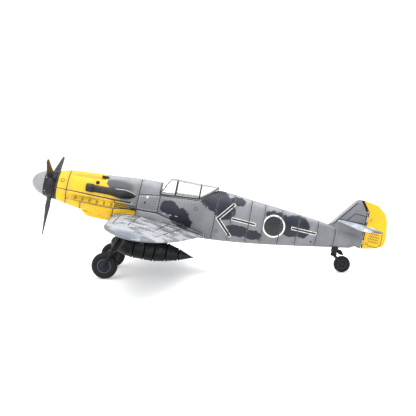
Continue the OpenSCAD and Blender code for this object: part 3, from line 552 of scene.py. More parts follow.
def rudder_paint():
    """Yellow with five rows of small pressed ticks, one thin line round the foot, and a dark front edge painted as
    the shade of the gap to the fin.
    """
    net = Net("rudder_yellow", specular=0.3)
    mottle = net.noise(1.3, 4, 0.65, w=41.0)
    base = two_tone(net, net.step(mottle, 0.35, 0.75), YELLOW, 0.88, 1.1)
    lean = net.sub(net.x, net.mul(net.z, 0.35))
    height = net.add(net.sub(net.z, TICK_FOOT), net.mul(net.sub(net.x, POST_X), 0.04))

    def comb(value, pitch, low, high):
        part = net.math("FRACT", net.mul(value, 1 / pitch))
        return net.step(net.math("ABSOLUTE", net.sub(part, 0.5)), low, high)

    ticks = net.mul(comb(lean, TICK_PITCH, 0.32, 0.2), comb(height, TICK_ROW, 0.34, 0.24))
    top = TICK_ROWS * TICK_ROW
    inside = net.mul(net.step(net.x, POST_X + 2.6, POST_X + 3.0),
                     net.step(net.x, POST_X + 8.6, POST_X + 8.2))
    inside = net.mul(inside, net.mul(net.step(height, 0, 0.1), net.step(height, top, top - 0.1)))
    lines = net.either(*[net.stroke(*line, 0.17) for line in FOOT_LINES])
    ink = net.either(net.mul(ticks, inside), lines)
    # painted shade of the gap to the fin along the rudder's front edge
    edge = net.step(net.x, POST_X + 0.95, POST_X + 0.6, 0, 0.9)
    edge = net.mul(edge, net.step(net.z, FIN_TOP - 5.0, FIN_TOP - 5.6))
    edge = net.either(edge, net.stroke(POST_X + 0.5, FIN_TOP - 5.5, POST_X - 3.5, FIN_TOP, 0.3))
    base = net.mix(net.either(net.mul(ink, 0.85), edge), base, scale_color(INK, 1.6))
    rough = net.step(net.noise(1.1, 4, w=43.0), 0.3, 0.75, 0.32, 0.5)
    pressed = net.sub(net.mul(net.noise(5.0, 2, w=45.0), 0.4), net.mul(ink, 1.5))
    return net.finish(base, pressed, rough, strength=0.6, distance=0.15)


def clear_plastic():
    net = Net("clear_canopy", roughness=0.06, specular=0.45, alpha=0.13)
    haze = net.noise(0.35, 3, w=51.0)
    color = net.mix(net.step(haze, 0.35, 0.7), (0.86, 0.88, 0.90), (0.97, 0.975, 0.98))
    rough = net.step(net.noise(1.4, 4, w=53.0), 0.4, 0.75, 0.04, 0.14)
    return net.finish(color, net.noise(0.25, 2, w=55.0), rough, strength=0.03, distance=0.05)


def tyre_rubber():
    net = Net("tyre_black", specular=0.16)
    mottle = net.noise(1.8, 4, 0.6, w=61.0)
    base = net.mix(net.step(mottle, 0.4, 0.75), (0.005, 0.005, 0.006), (0.016, 0.015, 0.015))
    dust = net.mul(net.step(net.noise(0.9, 5, 0.7, w=63.0), 0.55, 0.72), 0.14)
    base = net.mix(dust, base, (0.12, 0.105, 0.075))
    base = net.mix(net.step(net.attribute("wash"), 0.3, 0.7, 0, 0.9), base, (0.003, 0.003, 0.003))
    rough = net.step(mottle, 0.3, 0.7, 0.42, 0.66)
    return net.finish(base, net.noise(4.5, 3, w=65.0), rough, strength=0.4, distance=0.08)


def hub_paint():
    net = Net("hub_blue_gray", specular=0.2)
    mottle = net.noise(2.4, 4, 0.65, w=71.0)
    base = net.mix(net.step(mottle, 0.4, 0.62), (0.006, 0.007, 0.009), (0.035, 0.042, 0.055))
    base = net.mix(net.step(net.attribute("wash"), 0.3, 0.7), base, (0.045, 0.056, 0.076))
    return net.finish(base, mottle, net.step(mottle, 0.3, 0.7, 0.34, 0.5), strength=0.4, distance=0.08)


def tank_paint():
    net = Net("tank_black", specular=0.24)
    cloud = net.noise(0.22, 4, w=81.0)
    fleck = net.noise(1.6, 5, 0.7, w=83.0)
    base = net.mix(net.step(cloud, 0.35, 0.7), (0.004, 0.005, 0.006), (0.010, 0.014, 0.019))
    base = net.mix(net.step(fleck, 0.6, 0.78, 0, 0.45), base, (0.035, 0.042, 0.055))
    base = net.mix(net.step(net.noise(0.5, 4, w=87.0), 0.56, 0.7, 0, 0.5), base, (0.045, 0.04, 0.028))
    base = net.mix(net.step(net.attribute("wash"), 0.5, 0.9, 0, 0.7), base, (0.002, 0.002, 0.002))
    rough = net.step(fleck, 0.3, 0.7, 0.28, 0.46)
    return net.finish(base, net.noise(3.5, 3, w=85.0), rough, strength=0.35, distance=0.08)


def blade_paint():
    """Dark satin blades with a fine lengthwise brush mark and rubbed edges."""
    net = Net("blade_dark", specular=0.3)
    brush = net.noise(2.2, 4, 0.7, w=91.0, stretch=(1.0, 0.3, 0.3))
    base = net.mix(net.step(brush, 0.35, 0.7), (0.014, 0.015, 0.017), (0.036, 0.036, 0.038))
    base = net.mix(net.mul(net.attribute("wash"), 0.55), base, (0.16, 0.155, 0.15))
    rough = net.step(brush, 0.3, 0.75, 0.24, 0.42)
    return net.finish(base, brush, rough, strength=0.3, distance=0.06)


# The floor is lit from below like a light table, so shadows stay pale
FLOOR_GLOW = 0.2


def pale_floor():
    net = Net("pale_floor", roughness=0.55, specular=0.25)
    tone = net.noise(0.004, 2, w=95.0)
    color = net.mix(net.step(tone, 0.3, 0.7), (0.945, 0.945, 0.94), (0.955, 0.955, 0.95))
    net.shader.inputs["Emission Color"].default_value = (1.0, 1.0, 0.99, 1.0)
    net.shader.inputs["Emission Strength"].default_value = FLOOR_GLOW
    return net.finish(color)


NEAR_BLACK = (0.010, 0.011, 0.013)
SATIN_BLACK = (0.006, 0.006, 0.007)
BODY_PAINT = body_paint()
WING_TOP = plain_skin(*wing_paint("wing_gray", (0.125, 0.13, 0.142), 0.2, 100.0, 3.0, 0.9))
WING_UNDER = plain_skin(*wing_paint("under_blue_gray", BLUE_GRAY, 0.15, 120.0, 2.0, 0.4))
# light blue-grey tail skin, painted lighter than the wing to stand for the white reflection along the tailplanes'
# top
TAIL_PAINT = tail_skin(*wing_paint("tail_gray", (0.27, 0.30, 0.34), 0.15, 140.0, 2.2, 0.6))
RUDDER = rudder_paint()
YELLOW_PLAIN = moulded("nose_yellow", YELLOW, 0.4, None, 0.08, w=150.0)
CLEAR = clear_plastic()
FRAME_DARK = moulded("canopy_frame", NEAR_BLACK, 0.4, (0.05, 0.05, 0.055), 0.2, w=155.0)
FRAME_PALE = moulded("canopy_rim", (0.26, 0.265, 0.27), 0.4, (0.5, 0.5, 0.48), 0.12, w=158.0)
CREAM = moulded("cream_edge", (0.62, 0.58, 0.47), 0.45, WHITE_EDGE, 0.12, w=160.0)
DUST = moulded("dusty_edge", (0.10, 0.092, 0.066), 0.45, (0.30, 0.27, 0.19), 0.3, w=165.0)
TYRE = tyre_rubber()
HUB_PAINT = hub_paint()
TANK = tank_paint()
BLADE = blade_paint()
GEAR = moulded("gear_black", SATIN_BLACK, 0.42, (0.05, 0.046, 0.036), 0.3, w=170.0, specular=0.2)
CAP = moulded("spinner_gray", (0.22, 0.225, 0.235), 0.34, (0.5, 0.5, 0.5), 0.1, w=180.0)
RING = moulded("spinner_black", (0.008, 0.008, 0.009), 0.36, (0.05, 0.05, 0.05), 0.3, w=185.0,
               specular=0.22)
INTAKE = moulded("intake_gray", NEAR_BLACK, 0.36, (0.06, 0.062, 0.07), 0.25, w=190.0, specular=0.25)
OLIVE = moulded("exhaust_olive", (0.48, 0.31, 0.014), 0.5, (0.22, 0.15, 0.02), 0.25, w=195.0)
GUN = moulded("gun_black", SATIN_BLACK, 0.35, (0.05, 0.05, 0.055), 0.3, w=200.0, specular=0.22)
COCKPIT = moulded("cockpit_gray", (0.10, 0.10, 0.10), 0.55, (0.28, 0.28, 0.26), 0.2, w=205.0)
STEEL = moulded("steel_pin", (0.42, 0.42, 0.43), 0.3, (0.62, 0.62, 0.62), 0.1, 0.9, w=210.0)
RIVET = moulded("rivet_gray", (0.50, 0.51, 0.53), 0.42, WHITE_EDGE, 0.2, w=215.0)

# ---- mesh helpers ----

AFT_AXIS, ACROSS = Vector((1, 0, 0)), Vector((0, 1, 0))
EASE = 0.12
SLOTS = {s["node"]: s["material_slot"] for s in frame["record"]["subparts"]}


def make(name, verts, faces, material, body="airframe", stands_for=(), marks=None, sharp=38, slot=None):
    """A piece from points of the aircraft frame, riding on a body. Short marks end in zeros."""
    mesh = bpy.data.meshes.new(name)
    mesh.from_pydata([place(v) for v in verts], [], faces)
    mesh.validate()
    for key, values in (marks or {}).items():
        layer = mesh.attributes.new(key, "FLOAT", "POINT")
        layer.data.foreach_set("value", values + [0.0] * (len(verts) - len(values)))
    mesh.materials.append(material)
    mesh.polygons.foreach_set("use_smooth", [True] * len(mesh.polygons))
    mesh.set_sharp_from_angle(angle=math.radians(sharp))
    mesh.update()
    obj = bpy.data.objects.new(name, mesh)
    bpy.context.scene.collection.objects.link(obj)
    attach(obj, body)
    if stands_for:
        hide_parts(*stands_for)
        slot = slot or SLOTS[stands_for[0]]


def mirrored(verts, faces):
    return [Vector((v[0], -v[1], v[2])) for v in verts], [f[::-1] for f in faces]


def make_pair(name, verts, faces, material, node, marks=None, sharp=35):
    """A piece on the port side and its mirror image to starboard."""
    sides = (("port", "left", (verts, faces)), ("starboard", "right", mirrored(verts, faces)))
    for label, end, mesh in sides:
        make(f"{name}_{label}", *mesh, material, "airframe", (f"{node}_{end}",), marks, sharp)


def strip_faces(a, b, flip):
    """Quads between two equal rows of vertex numbers."""
    out = [(a[i], a[i + 1], b[i + 1], b[i]) for i in range(len(a) - 1)]
    return [f[::-1] for f in out] if flip else out


def shell_mesh(outer, inner, flip=False):
    """Vertices and faces of a closed shell between two equal grids of points."""
    rows, cols = len(outer), len(outer[0])
    verts = [p for row in outer for p in row] + [p for row in inner for p in row]
    start = rows * cols
    top = [[i * cols + j for j in range(cols)] for i in range(rows)]
    low = [[start + k for k in row] for row in top]
    faces = []
    for i in range(rows - 1):
        faces += strip_faces(top[i], top[i + 1], flip)
        faces += strip_faces(low[i], low[i + 1], not flip)
    faces += strip_faces(top[0], low[0], not flip)
    faces += strip_faces(top[-1], low[-1], flip)
    for j, turned in ((0, flip), (-1, not flip)):
        faces += strip_faces([r[j] for r in top], [r[j] for r in low], turned)
    return verts, faces


def loops_mesh(loops, flip=False, cap_start=True, cap_end=True):
    """Skin over closed loops of points, with a fan over each end."""
    n = len(loops[0])
    verts = [p for loop in loops for p in loop]
    faces = []
    for i in range(len(loops) - 1):
        a = [i * n + j % n for j in range(n + 1)]
        faces += strip_faces(a, [k + n for k in a], flip)
    for on, i in ((cap_start, 0), (cap_end, len(loops) - 1)):
        if on:
            verts.append(sum((Vector(p) for p in loops[i]), Vector()) / n)
            c = len(verts) - 1
            ring = [(i * n + j, i * n + (j + 1) % n) for j in range(n)]
            faces += [(c, b, a) if (i == 0) != flip else (c, a, b) for a, b in ring]
    return verts, faces


def circle(count, shift=0.0):
    """Angles of evenly spaced points on a circle."""
    return [2 * math.pi * (k + shift) / count for k in range(count)]


def lathe(profile, centre, axis, across=None, steps=64, flip=False, caps=True):
    """A shape turned about an axis: profile is (radius, distance along the axis)."""
    axis = Vector(axis).normalized()
    across = (axis.orthogonal() if across is None else Vector(across)).normalized()
    third = axis.cross(across)
    spokes = [across * math.cos(a) + third * math.sin(a) for a in circle(steps)]
    loops = [[Vector(centre) + axis * d + spoke * r for spoke in spokes] for r, d in profile]
    return loops_mesh(loops, flip, caps, caps)


def turned_ring(profile, centre, steps):
    """A closed ring of the given section, turned about an axis across the craft."""
    verts, faces = lathe(profile, centre, ACROSS, AFT_AXIS, steps, caps=False)
    last = (len(profile) - 1) * steps
    faces += [(last + k, last + (k + 1) % steps, (k + 1) % steps, k) for k in range(steps)]
    return verts, faces


def join(parts):
    """One vertex and face list from several."""
    verts, faces = [], []
    for v, f in parts:
        faces += [tuple(k + len(verts) for k in face) for face in f]
        verts += v
    return verts, faces


def block(low, high, inset=0.12):
    """A box with chamfered edges between two corners."""
    low, high = Vector(low), Vector(high)
    mid, half = (low + high) / 2, (high - low) / 2
    loops = []
    for z, pull in ((-1, inset), (-1 + inset / half.z, 0), (1 - inset / half.z, 0), (1, inset)):
        loop = []
        for sx, sy in ((1, 1), (-1, 1), (-1, -1), (1, -1)):
            w, h = half.x - pull, half.y - pull
            first = (w - inset, h) if sx * sy > 0 else (w, h - inset)
            second = (w, h - inset) if sx * sy > 0 else (w - inset, h)
            for q in (second, first):
                loop.append(mid + Vector((sx * q[0], sy * q[1], z * half.z)))
        loops.append(loop)
    return loops_mesh(loops)


def bar(a, b, r0, sides=20, r1=None):
    """A round bar from a to b with softened ends, tapered where r1 is given."""
    a, b = Vector(a), Vector(b)
    r1 = r0 if r1 is None else r1
    long = (b - a).length
    e = min(EASE, r0 * 0.5, long * 0.3)
    profile = [(r0 - e, 0), (r0 - e * 0.3, e * 0.3), (r0, e), (r1, long - e),
               (r1 - e * 0.3, long - e * 0.3), (r1 - e, long)]
    return lathe(profile, a, b - a, None, sides)


def domes(spots, r=0.2, tall=0.12, sides=8):
    """Low rivet heads at (point, normal) pairs."""
    profile = [(r, -0.1), (r, 0.02), (r * 0.8, tall * 0.7), (r * 0.4, tall)]
    return join([lathe(profile, p, n, None, sides) for p, n in spots])


def ribbon(points, normals, half, tall=0.05, sunk=0.12):
    """A thin raised strip along points that lie on a surface."""
    rows = []
    for i, (p, n) in enumerate(zip(points, normals)):
        p, n = Vector(p), Vector(n).normalized()
        a, b = Vector(points[max(0, i - 1)]), Vector(points[min(len(points) - 1, i + 1)])
        across = (b - a).cross(n).normalized() * half
        top, foot = n * tall, n * sunk
        rows.append([p - across - foot, p - across * 0.9 + top,
                     p + across * 0.9 + top, p + across - foot])
    return loops_mesh(rows, flip=True)


def both_sides(parts):
    """Parts and their mirror images as one vertex and face list."""
    port = join(parts)
    return join([port, mirrored(*port)])


# ---- fuselage halves ----

NEAR = (0.17, 0.36)
NEAR_LINE = (-NEAR[1], -NEAR[0], 0, NEAR[0], NEAR[1])
GAP_ROWS = (24, 12, 9, 15)
ARC = 8.0
KEY_HEIGHTS = [
    [(NOSE_X, 3.2), (54, 4.4), (BULKHEAD_X, 6.05), (86, 7.45), (88.5, 6.3), (91, 4.5), (104, 4.6),
     (130, 4.8), (POST_X, 4.4)],
    [(NOSE_X, -0.5), (55, -0.5), (70, 1.0), (100, 0.5), (130, 1.6), (FIN_X, 3.0), (POST_X, 2.8)],
    [(NOSE_X, -4.7), (19, -5), (44, -5), (55, -3.3), (66, -3.0), (91.6, -9.3), (100, -6.5),
     (112, -5.4), (130, -4.0), (FIN_X, -0.6), (POST_X, 0.6)]]
# Where each row of panel lines runs: from and to along the body, then how deep
KEY_SPANS = [(NOSE_X, POST_X, 0.35), (55.5, 90.8, 1.0), (NOSE_X, 52.0, 1.0), (19.1, 91.4, 1.0),
             (NOSE_X, POST_X, 0.35)]
# Vertical panel lines: station, then the key rows it starts and ends at
UPRIGHTS = [(19.1, 0, 4), (27, 3, 4), (44, 2, 4), (55.5, 0, 4), (66.2, 1, 3), (79.5, 3, 4),
            (95.2, 0, 4), (103.5, 0, 4), (112.7, 0, 4), (120, 0, 4), (129, 0, 4), (138, 0, 4),
            (148.3, 0, 4), (157.7, 1, 4)]
GROOVE = 0.26
TROUGH_Y, TROUGH_R, TROUGH_DEEP, TROUGH_FROM, TROUGH_TO = 4.2, 1.15, 0.95, 20, 37


def side_stations():
    breaks = [BULKHEAD_X - 0.15, BULKHEAD_X, 94.6, 94.75, WING_X - 0.2, WING_X - 0.1,
              WING_X + ROOT_CHORD + 0.1, WING_X + ROOT_CHORD + 0.2, FIN_X, FIN_X + 0.3,
              POST_X - 5.6, POST_X - 3.9]
    lines = [u[0] + d for u in UPRIGHTS for d in NEAR_LINE]
    fixed = breaks + lines
    steps = round(POST_X - NOSE_X)
    plain = [lerp(NOSE_X, POST_X, i / steps) for i in range(1, steps)]
    plain = [x for x in plain if min(abs(x - f) for f in fixed) > 0.3]
    return sorted(set(fixed + plain + [NOSE_X, POST_X]))


def row_plan():
    """Rows down one side: gap, kind of place, how far into it, nearest key row, its distance."""
    rows = []
    for gap, count in enumerate(GAP_ROWS):
        rows += [(gap, "start", d, gap, d) for d in (0.0, *NEAR)]
        rows += [(gap, "middle", (i + 1) / (count + 1), gap, 9.0) for i in range(count)]
        rows += [(gap, "end", d, gap + 1, d) for d in NEAR[::-1]]
    return rows + [(3, "end", 0.0, 4, 0.0)]


def fin_join(x):
    return math.degrees(math.acos((FIN_HALF / smooth(WIDTH, x)) ** (body_power(x, True) / 2)))


def key_angles(x):
    over_cockpit = BULKHEAD_X - 0.05 < x < SILL[2][0] + 0.05
    top = angle_at(x, lookup(SILL, x)) if over_cockpit else 90
    bottom = angle_at(x, wing_cut(x)) if over_wing(x) else -90
    inner = [angle_at(x, lookup(line, x)) for line in KEY_HEIGHTS]
    toward_fin = clamp((x - FIN_X + 25) / 25)
    inner[0] = lerp(inner[0], fin_join(x) if x > FIN_X - 1 else 68, toward_fin)
    return [top, min(inner[0], top - 1.5), *inner[1:], bottom]


def row_share(kind, value, arc):
    near = min(NEAR[1] / arc, 0.3)
    if kind == "start":
        return near * value / NEAR[1]
    if kind == "end":
        return 1 - near * value / NEAR[1]
    return lerp(near, 1 - near, value)


def fin_half(x):
    return FIN_HALF * clamp(0.3 + (x - FIN_X) / 13, 0.3, 1)


def line_depth(x, row, v):
    """How strongly a point lies in a panel groove, and how near an upright line it is."""
    key, d = row[3], row[4]
    first, last, weight = KEY_SPANS[key]
    level = weight * clamp(1 - d / NEAR[1]) if first <= x <= last else 0.0
    if key == 0 and BULKHEAD_X - 0.2 < x < 94.8:
        level = clamp(1 - d / NEAR[1]) * 0.8
    dirt_and_shade = 0.0
    for u, top, foot in UPRIGHTS:
        if top - 1e-6 <= v <= foot + 1e-6:
            away = abs(x - u)
            level = max(level, clamp(1 - away / NEAR[1]))
            dirt_and_shade = max(dirt_and_shade, clamp(1 - away / 2.2))
    return level, dirt_and_shade


# Painted highlight: a pale band over the wing-root fillet, where the concave fillet catches the overhead light
FILLET_HIGHLIGHT_SPAN = (56.5, 91.3)


def fuselage():
    """Both halves: outer skin with grooves and gun troughs, inner wall, and the fin."""
    outer, inner = [], []
    marks = {"wash": [], "grime": [], "pale": [], "high": []}
    plan = row_plan()
    for x in side_stations():
        keys = key_angles(x)
        has_fin = x > FIN_X + 0.1
        crest = max(lookup(FIN_LINE, x), smooth(DECK, x) + 0.02)
        foot = section_point(x, keys[1]).z
        top_in = 90 if has_fin else keys[0]
        outer.append([])
        inner.append([])
        for row in plan:
            gap, kind, value = row[:3]
            arc = max(0.4, ARC * math.radians(keys[gap] - keys[gap + 1]))
            t = row_share(kind, value, arc)
            angle = lerp(keys[gap], keys[gap + 1], t)
            level, dirt_and_shade = line_depth(x, row, gap + t)
            p = section_point(x, angle, GROOVE * level)
            on_fin = has_fin and gap == 0
            if on_fin:
                z = lerp(crest, foot, t)
                rim = clamp((crest - z) / 1.5)
                p = Vector((x, -fin_half(x) * math.sqrt(1 - (1 - rim) ** 2), z))
                level, dirt_and_shade = 0.0, 0.0
            elif gap == 0 and TROUGH_FROM < x < TROUGH_TO:
                off = (abs(p.y) - TROUGH_Y) / TROUGH_R
                dent = math.sqrt(max(0.0, 1 - off * off)) * clamp((x - TROUGH_FROM) / 3)
                p.z -= TROUGH_DEEP * dent
                # painted shade: the gun trough darkens toward its bottom
                dirt_and_shade = max(dirt_and_shade, 1.6 * dent)
            outer[-1].append(p)
            inner_angle = lerp(top_in, keys[1], t) if gap == 0 else angle
            inner[-1].append(section_point(x, inner_angle, BODY_WALL))
            # painted highlight over the wing-root fillet
            pale = 1.0 if gap == 3 and FILLET_HIGHLIGHT_SPAN[0] < x < FILLET_HIGHLIGHT_SPAN[1] else 0.0
            # painted sheen: height on the side, read by the paint to lighten the top of the body
            high = 0.0 if on_fin else clamp((p.z - body_mid(x)) / body_tall(x))
            for key, mark in zip(marks, (level, dirt_and_shade, pale, high)):
                marks[key].append(mark)
    make_pair("fuselage", *shell_mesh(outer, inner, flip=True), BODY_PAINT, "fuselage", marks, 50)


fuselage()


def on_body(x, z, lift=0.0):
    """A point on the port side of the body and the direction out of it."""
    a = angle_at(x, z)
    p = section_point(x, a)
    e = 0.15
    along = section_point(x + e, angle_at(x + e, z)) - section_point(x - e, angle_at(x - e, z))
    down = section_point(x, clamp(a - 1, -89, 89)) - section_point(x, clamp(a + 1, -89, 89))
    n = along.cross(down).normalized()
    if n.y > 0:
        n = -n
    return p + n * lift, n


STRIP_STEP = 1.2


def side_ribbon(path, half, tall=0.04):
    """Strip along a line of the side view, laid on the port side of the body."""
    points, normals = [], []
    for (xa, za), (xb, zb) in zip(path, path[1:]):
        count = max(2, int(math.hypot(xb - xa, zb - za) / STRIP_STEP) + 1)
        for i in range(count + 1):
            if points and i == 0:
                continue
            p, n = on_body(lerp(xa, xb, i / count), lerp(za, zb, i / count))
            points.append(p)
            normals.append(n)
    return ribbon(points, normals, half, tall)


# Rivet rows as lines of the side view with their pitch: bright, then painted over
RIVET_ROWS = {
    "rivets": (RIVET, [(56.4, 3.6, 65.2, 5.2, 1.15), (56.4, -2.3, 65.2, -2.1, 1.15),
                       (56.3, 3.0, 56.3, -1.8, 1.15), (65.3, 4.6, 65.3, -1.6, 1.15),
                       (67.4, 4.9, 84.5, 6.0, 1.6)]),
    "painted_rivets": (BODY_PAINT, [
        (96.1, 11.8, 96.1, -8.6, 1.15), (94.3, 9.5, 94.3, -7.5, 1.15), (104.4, 11.0, 104.4, -8.2, 1.15),
        (128.0, 9.0, 128.0, -4.6, 1.5), (138.9, 7.8, 138.9, -3.2, 1.5), (149.2, 6.6, 149.2, -1.6, 1.5),
        (20.0, -1.3, 43.0, -1.3, 2.3), (20.0, 0.4, 26.0, 0.4, 2.3), (20.2, 6.2, 36.0, 7.2, 2.3),
        (56.2, 9.6, 56.2, 5.2, 1.5)])}


def rivet_row(x0, z0, x1, z1, pitch):
    count = max(1, round(math.hypot(x1 - x0, z1 - z0) / pitch))
    return [on_body(lerp(x0, x1, i / count), lerp(z0, z1, i / count), -0.02)
            for i in range(count + 1)]


for row_name, (row_material, rows) in RIVET_ROWS.items():
    heads = domes([spot for row in rows for spot in rivet_row(*row)], 0.19, 0.12, 7)
    make(row_name, *both_sides([heads]), row_material, slot="airframe_paint")


LIGHT_SPOT = 59.9


def cowl_details():
    """Louvres, fillers, rings and hinge strips of the nose and the sides."""
    dark = [side_ribbon([(44.2, z), (55.2, z - 0.05)], 0.2, 0.14) for z in (-2.0, -2.9, -3.8)]
    dark += [side_ribbon([(21.2, -3.1), (24.0, -3.1)], 0.16, 0.06)]
    pale = []
    for x, z, r in ((16.3, 3.7, 1.0), (LIGHT_SPOT, 4.0, 0.8), (85.0, 3.1, 0.95), (97.2, -6.0, 0.9)):
        p, n = on_body(x, z)
        ring = [(r * 0.74, -0.1), (r * 0.76, 0.06), (r * 0.97, 0.06), (r, -0.1)]
        dark.append(lathe(ring, p, n, None, 28, caps=False))
        if x == LIGHT_SPOT:
            disc = [(r * 0.9, -0.1), (r * 0.85, 0.07), (r * 0.3, 0.09)]
            pale.append(lathe(disc, p, n, None, 24))
    for x, z, r in ((59.2, 1.1, 0.45), (33.9, 6.1, 1.0), (146.0, -2.2, 0.4)):
        p, n = on_body(x, z)
        knob = [(r, -0.2), (r, 0.18), (r * 0.8, 0.36), (r * 0.3, 0.42)]
        dark.append(lathe(knob, p, n, None, 22))
    for x in (69.0, 72.2, 75.4):
        pale.append(side_ribbon([(x, -2.6), (x + 1.3, -2.55)], 0.17, 0.08))
    make("body_dark_details", *both_sides(dark), GUN, slot="gun_black")
    make("body_pale_details", *both_sides(pale), RIVET, slot="airframe_paint")


cowl_details()

TAIL_LEAD, TAIL_CHORD, TAIL_Z = POST_X - 14.4, 19.4, 11.0


def fin_lines():
    """Seams and pale leading edge lines of the fin, with dark lines painted as the shadow along the tailplane root
    and the shade in the gap to the rudder.
    """
    out = -ACROSS

    def along_edge(inset, half):
        points = []
        for i in range(15):
            x = lerp(FIN_X + 1.5, POST_X - 7.5, i / 14)
            z = lookup(FIN_LINE, x)
            x += inset * 0.8
            points.append(Vector((x, -fin_half(x) - 0.01, z - inset * 0.6)))
        return ribbon(points, [out] * 15, half, 0.05)

    def seam(x0, z0, x1, z1, half):
        spots = [Vector((lerp(x0, x1, i / 8), 0, lerp(z0, z1, i / 8))) for i in range(9)]
        for p in spots:
            p.y = -fin_half(p.x) * 0.99 - 0.03
        return ribbon(spots, [out] * 9, half, 0.05)

    dark = [along_edge(1.5, 0.2),
            seam(POST_X - 6.4, 16.3, POST_X - 0.4, 16.0, 0.16),
            seam(POST_X - 6.4, 16.3, POST_X - 9.6, 12.2, 0.16),
            # painted shadow along the tailplane root
            seam(POST_X - 13.2, TAIL_Z + 0.95, POST_X - 0.6, TAIL_Z + 0.95, 0.2),
            # painted shade of the gap to the rudder, along the fin's upright and slanted rear edges
            seam(POST_X - 0.35, 6.0, POST_X - 0.35, FIN_TOP - 6.2, 0.22),
            seam(POST_X - 0.5, FIN_TOP - 5.6, POST_X - 4.1, FIN_TOP - 0.5, 0.2)]
    make("fin_seams_and_shade_lines", *both_sides(dark), GUN, slot="airframe_paint")
    make("fin_edge_lines", *both_sides([along_edge(0.55, 0.13)]), RIVET, slot="airframe_paint")


fin_lines()

# ---- wing ----

WING_LINES = [(0.105, 12.5, 66), (0.3, 8, 66), (0.62, 8, 58), (0.765, 8, 84)]
WING_RIBS = [12.5, 24.0, 37.0, 50.0, 53.0, 66.0, 69.0, 84.0]
UPPER_GROOVE, LOWER_GROOVE, RIVET_PITCH = 0.22, 0.2, 1.6


def line_level(away):
    """Depth of a groove, 1 on its line and 0 where the skin is whole again."""
    return clamp(1 - abs(away) / NEAR[1])


def wing_marks(y, t):
    """Groove strength on the wing from its spanwise and chordwise panel lines."""
    level = 0.0
    for share, first, last in WING_LINES:
        if first <= abs(y) <= last:
            level = max(level, line_level((t - share) * wing_chord(y)))
    for rib in WING_RIBS:
        if 0.03 < t < 0.97 and (rib < 80 or t < 0.77):
            level = max(level, line_level(abs(y) - rib))
    return level


def wing_rows(first):
    fixed = [r + d for r in WING_RIBS for d in NEAR_LINE]
    plain = [lerp(first, HALF_SPAN - 4, i / 60) for i in range(1, 60)]
    plain = [y for y in plain if min(abs(y - f) for f in fixed) > 0.35]
    tips = [lerp(HALF_SPAN - 4, HALF_SPAN, math.sin(math.radians(90 * i / 10))) for i in range(11)]
    return sorted(set([first] + fixed + plain + tips))


def chord_shares(y):
    """Chordwise places in every wing row, closer together at the panel lines."""
    out = [(1 - math.cos(math.pi * i / 36)) / 2 for i in range(37)]
    at_lines = set()
    for share, _, _ in WING_LINES:
        k = min(range(2, 35), key=lambda j: abs(out[j] - share))
        out[k] = share
        at_lines.add(k)
    done = []
    for k, share in enumerate(out):
        done += [share + d / wing_chord(y) for d in NEAR_LINE] if k in at_lines else [share]
    return sorted(done)


def edge_ease(y, t):
    """How much the skins draw in at the nose and the trailing edge."""
    chord = wing_chord(y) * tip_round(y)
    nose = clamp(1 - t * chord / 0.55) ** 2
    tail = 0.72 * clamp(1 - (1 - t) * chord / 1.8) ** 1.5
    return EDGE_HALF * 0.92 * max(nose, tail)


def belly_depth(x, y):
    n = body_power(x, False)
    r = clamp(abs(y) / smooth(WIDTH, x))
    return WING_Z - (body_mid(x) - body_tall(x) * (1 - r**n) ** (1 / n))


def upper_panels():
    """Both upper wing skins, thin shells grooved along their panel lines."""
    outer, inner, wash, shade = [], [], [], []
    for y in wing_rows(ROOT_Y):
        outer.append([])
        inner.append([])
        for t in chord_shares(y):
            level = wing_marks(y, t)
            high = upper_height(t, y) - edge_ease(y, t)
            base = wing_plane(y) + SEAT
            x = wing_x(y, t)
            outer[-1].append(Vector((x, -y, base + high - UPPER_GROOVE * level)))
            inner[-1].append(Vector((x, -y, base + max(0, high - BODY_WALL))))
            wash.append(level)
            # painted shade along the leading edge and the outer tip, read by the wing paint
            front = t * wing_chord(y) * tip_round(y)
            tip = clamp(1 - (HALF_SPAN - y) / 24) * clamp(1.5 - 1.6 * t)
            shade.append(max(tip, clamp(1 - front / 1.8)))
    marks = {"wash": wash, "shade": shade}
    make_pair("wing_top", *shell_mesh(outer, inner), WING_TOP, "wing_upper", marks, 40)


def lower_panel():
    """The one-piece underside from tip to tip, with the belly in its middle."""
    half = wing_rows(ROOT_Y)
    middle = [lerp(-ROOT_Y, ROOT_Y, i / 24) for i in range(1, 24)]
    outer, inner, wash = [], [], []
    for y in [-y for y in half[::-1]] + middle + half:
        outer.append([])
        inner.append([])
        near = max(abs(y), ROOT_Y)
        inside = abs(y) < ROOT_Y - 1e-6
        for t in chord_shares(near):
            level = 0.0 if inside else wing_marks(y, t)
            x = wing_x(near, t)
            low = lower_depth(t, near)
            low = max(low, belly_depth(x, y)) if inside else low - edge_ease(y, t)
            outer[-1].append(Vector((x, y, wing_plane(y) - low + LOWER_GROOVE * level)))
            inner[-1].append(Vector((x, y, wing_plane(y))))
            wash.append(level)
    make("wing_underside", *shell_mesh(outer, inner), WING_UNDER, "airframe", ("wing_lower",),
         {"wash": wash}, 40)


upper_panels()
lower_panel()


def wing_top(y, t):
    return Vector((wing_x(y, t), -y, wing_plane(y) + SEAT + upper_height(t, y)))


def wing_rivets():
    spots = []
    for rib in WING_RIBS:
        chord = wing_chord(rib)
        for y in (rib - 0.9, rib + 0.9):
            for i in range(int(chord / RIVET_PITCH)):
                t = 0.05 + i * RIVET_PITCH / chord
                if t < 0.95:
                    a = wing_top(y, t)
                    n = (wing_top(y, t + 0.01) - a).cross(wing_top(y + 0.2, t) - a).normalized()
                    n = n if n.z > 0 else -n
                    spots.append((a - n * 0.02, n))
    return domes(spots, 0.17, 0.1, 6)


make("wing_rivets", *both_sides([wing_rivets()]), RIVET, slot="wing_paint")


